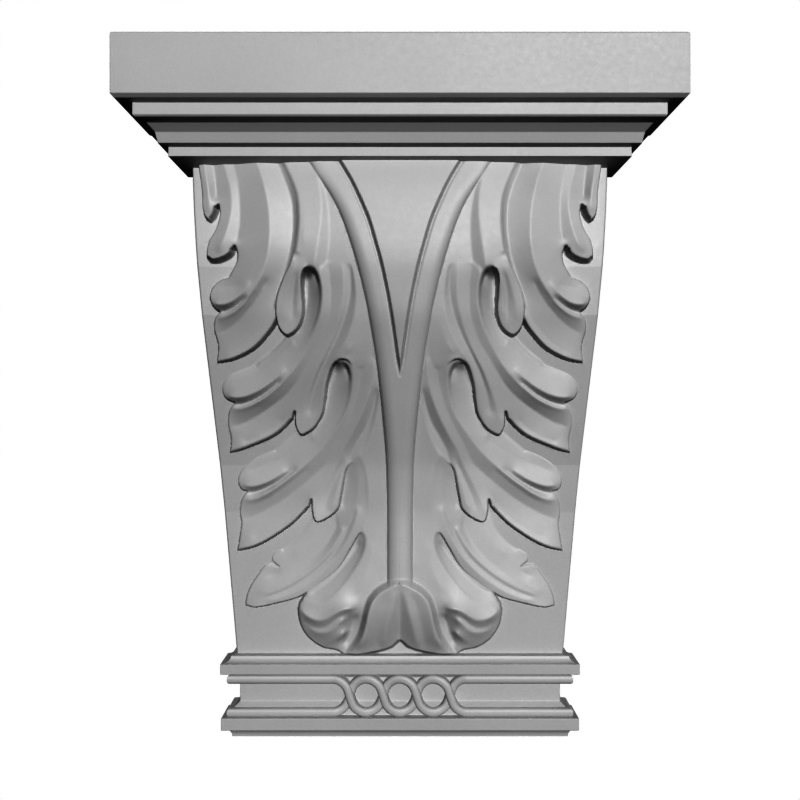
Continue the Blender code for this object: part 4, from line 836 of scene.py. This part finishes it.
def ribbon(name, first):
    """A ribbon with a rounded back along one side, across the front and along the other."""
    points = ribbon_path(first)
    corner = BAND_FLOOR + SIDE_OFFSET + RIBBON_RETURN
    path = [((-corner, BACK, points[0][1]), (-1, 0), 0),
            ((-corner, -BAND_FLOOR, points[0][1]), (-1, -1), 0)]
    path += [((x, -BAND_FLOOR, z), (0, -1), lift) for x, z, lift in points]
    path += [((corner, -BAND_FLOOR, points[-1][1]), (1, -1), 0),
             ((corner, BACK, points[-1][1]), (1, 0), 0)]
    rise = RIBBON_FACE - BAND_FLOOR
    section = [(-RIBBON_HALF_WIDTH, -RIBBON_SINK)]
    for t in np.linspace(0, math.pi, 13):
        across = -math.copysign(abs(math.cos(t)) ** RIBBON_ROUND, math.cos(t))
        section.append((RIBBON_HALF_WIDTH * across,
                        rise - RIBBON_SHOULDER * (1 - math.sin(t) ** RIBBON_ROUND)))
    section.append((RIBBON_HALF_WIDTH, -RIBBON_SINK))
    centres = np.array([p[0] for p in path])
    vertices, faces = [], []
    for k, (centre, outward, lift) in enumerate(path):
        before, after = centres[max(k - 1, 0)], centres[min(k + 1, len(path) - 1)]
        across = np.array([0.0, 0.0, 1.0])
        if outward == (0, -1):
            way = (after - before) / np.linalg.norm(after - before)
            across = np.array([-way[2], 0.0, way[0]])
        for offset, out in section:
            out = out + (WEAVE_DEPTH * lift if out > 0 else 0)
            shift = np.array([outward[0] * out, outward[1] * out, 0.0])
            vertices.append(tuple(np.array(centre) + across * offset + shift))
    n = len(section)
    for k in range(len(path) - 1):
        for i in range(n):
            a, b = k * n + i, k * n + (i + 1) % n
            faces.append((a, b, b + n, a + n))
    faces.append(tuple(reversed(range(n))))
    faces.append(tuple(range(len(vertices) - n, len(vertices))))
    return mesh_object(name, vertices, faces)


def face_outward(piece):
    """Turn all the faces of a closed piece outward."""
    shape = bmesh.new()
    shape.from_mesh(piece.data)
    bmesh.ops.recalc_face_normals(shape, faces=shape.faces[:])
    shape.to_mesh(piece.data)
    shape.free()


def unite(piece, other):
    """Add another closed piece to the piece and remove it."""
    face_outward(other)
    join = piece.modifiers.new("join", "BOOLEAN")
    join.operation, join.solver, join.object = "UNION", "MANIFOLD", other
    settle(piece)
    bpy.data.objects.remove(other)


def cut_flat(piece):
    """Cut the piece off flat at the wall and close it there."""
    shape = bmesh.new()
    shape.from_mesh(piece.data)
    cut = bmesh.ops.bisect_plane(shape, geom=shape.verts[:] + shape.edges[:] + shape.faces[:],
                                 plane_co=(0, 0, 0), plane_no=(0, 1, 0), clear_outer=True,
                                 dist=1e-7)
    rim = [e for e in shape.edges if e.is_boundary]
    bmesh.ops.edgeloop_fill(shape, edges=rim)
    bmesh.ops.recalc_face_normals(shape, faces=shape.faces[:])
    shape.to_mesh(piece.data)
    shape.free()


def carved_stone_piece():
    """The whole bracket: carved panel, cap and foot mouldings and the plaited band."""
    piece = panel_solid(carve())
    piece.name = piece.data.name = "carved_bracket_stone"
    unite(piece, moulding("cap", cap_profile()))
    foot = moulding("foot", foot_profile())
    for first in (1, -1):
        face_outward(foot)
        unite(foot, ribbon("ribbon", first))
    unite(piece, foot)
    cut_flat(piece)
    for face in piece.data.polygons:
        face.use_smooth = True
    piece.data.set_sharp_from_angle(angle=SHARP_ANGLE)
    even = piece.modifiers.new("even shading", "WEIGHTED_NORMAL")
    even.keep_sharp = True
    return piece


# ------------------------------------------------------------------ stone
def stone_material():
    """Fine even grey stone: faint clouds and fine grain."""
    material = bpy.data.materials.new("carved_grey_stone")
    material.use_nodes = True
    tree = material.node_tree
    tree.nodes.clear()
    add, link = tree.nodes.new, tree.links.new
    out, shader = add("ShaderNodeOutputMaterial"), add("ShaderNodeBsdfPrincipled")
    link(shader.outputs["BSDF"], out.inputs["Surface"])
    place = add("ShaderNodeTexCoord").outputs["Object"]

    def noise(scale, detail):
        node = add("ShaderNodeTexNoise")
        node.inputs["Scale"].default_value = scale
        node.inputs["Detail"].default_value = detail
        link(place, node.inputs["Vector"])
        return node.outputs["Fac"]

    def ramp(source, stops):
        node = add("ShaderNodeValToRGB")
        node.color_ramp.elements[0].position = stops[0][0]
        node.color_ramp.elements[1].position = stops[1][0]
        node.color_ramp.elements[0].color = (*[stops[0][1]] * 3, 1)
        node.color_ramp.elements[1].color = (*[stops[1][1]] * 3, 1)
        link(source, node.inputs["Fac"])
        return node.outputs["Color"]

    def mix(kind, amount, a, b):
        node = add("ShaderNodeMix")
        node.data_type, node.blend_type = "RGBA", kind
        node.inputs["Factor"].default_value = amount
        link(a, node.inputs["A"])
        link(b, node.inputs["B"])
        return node.outputs["Result"]

    clouds = ramp(noise(18, 3), ((0.3, STONE_GREY * 0.975), (0.7, STONE_GREY * 1.025)))
    grain = ramp(noise(2600, 2), ((0.35, 0.94), (0.65, 1.06)))
    link(mix("MULTIPLY", 0.6, clouds, grain), shader.inputs["Base Color"])
    rough = add("ShaderNodeMapRange")
    rough.inputs["To Min"].default_value = 0.52
    rough.inputs["To Max"].default_value = 0.62
    link(noise(420, 3), rough.inputs["Value"])
    link(rough.outputs["Result"], shader.inputs["Roughness"])
    bump = add("ShaderNodeBump")
    bump.inputs["Strength"].default_value = 0.12
    bump.inputs["Distance"].default_value = 0.00012
    link(noise(1900, 3), bump.inputs["Height"])
    link(bump.outputs["Normal"], shader.inputs["Normal"])
    shader.inputs["Specular IOR Level"].default_value = 0.7
    return material


piece = carved_stone_piece()
piece.data.materials.clear()
piece.data.materials.append(stone_material())
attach(piece, "root")
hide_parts("carved_bracket")


# ------------------------------------------------------------------ floor, light and camera
def glowing_white(name, strength):
    """Material that shows as plain white."""
    material = bpy.data.materials.new(name)
    material.use_nodes = True
    tree = material.node_tree
    tree.nodes.clear()
    out, glow = tree.nodes.new("ShaderNodeOutputMaterial"), tree.nodes.new("ShaderNodeEmission")
    glow.inputs["Color"].default_value = (1, 1, 1, 1)
    glow.inputs["Strength"].default_value = strength
    tree.links.new(glow.outputs["Emission"], out.inputs["Surface"])
    return material


def pale_floor():
    """Large white floor a little below the bracket."""
    level, reach = LOW[2] - FLOOR_DROP, FLOOR_REACH
    mesh = bpy.data.meshes.new("floor")
    mesh.from_pydata([(x, y, level) for x, y in ((-reach, -reach), (reach, -reach),
                                                 (reach, reach), (-reach, reach))],
                     [], [(0, 1, 2, 3)])
    floor = bpy.data.objects.new("floor", mesh)
    bpy.context.scene.collection.objects.link(floor)
    mesh.materials.append(glowing_white("pale_floor", 1.0))
    floor.visible_diffuse = floor.visible_glossy = floor.visible_shadow = False
    return floor


def pale_world():
    """White to look at, and only a faint light on the stone."""
    world = bpy.data.worlds.new("studio")
    bpy.context.scene.world = world
    world.use_nodes = True
    tree = world.node_tree
    tree.nodes.clear()
    out, glow = tree.nodes.new("ShaderNodeOutputWorld"), tree.nodes.new("ShaderNodeBackground")
    ray, level = tree.nodes.new("ShaderNodeLightPath"), tree.nodes.new("ShaderNodeMapRange")
    level.inputs["To Min"].default_value = WORLD_FILL
    level.inputs["To Max"].default_value = 1.0
    tree.links.new(ray.outputs["Is Camera Ray"], level.inputs["Value"])
    tree.links.new(level.outputs["Result"], glow.inputs["Strength"])
    glow.inputs["Color"].default_value = (1, 1, 1, 1)
    tree.links.new(glow.outputs["Background"], out.inputs["Surface"])


def sun(name, energy, way, fill):
    """Soft sunlight that travels the given way; a fill is shadowed and makes no gloss."""
    light = bpy.data.lights.new(name, "SUN")
    light.energy, light.angle = energy, SUN_SPREAD
    light.use_shadow = fill
    lamp = bpy.data.objects.new(name, light)
    bpy.context.scene.collection.objects.link(lamp)
    lamp.visible_glossy = not fill
    lamp.rotation_euler = mathutils.Vector(way).to_track_quat("-Z", "Y").to_euler()


def front_camera():
    """Camera straight in front of the bracket, a hair above its middle."""
    lens = bpy.data.cameras.new("camera")
    lens.lens, lens.sensor_width, lens.clip_start = LENS, SENSOR, NEAR
    camera = bpy.data.objects.new("camera", lens)
    bpy.context.scene.collection.objects.link(camera)
    camera.location = (0, -EYE_DISTANCE, (LOW[2] + HIGH[2]) / 2 + EYE_RISE)
    camera.rotation_euler = (math.pi / 2, 0, 0)
    return camera


pale_floor()
pale_world()
sun("key", KEY, KEY_WAY, False)
sun("back_left", BACK_FILL, BACK_WAY, True)
sun("back_right", BACK_FILL, (-BACK_WAY[0], *BACK_WAY[1:]), True)
bpy.context.scene.camera = front_camera()

view = bpy.context.scene.view_settings
view.view_transform = "Standard"
view.look = "None"
view.exposure = 0.0
view.gamma = VIEW_GAMMA

bpy.context.view_layer.update()
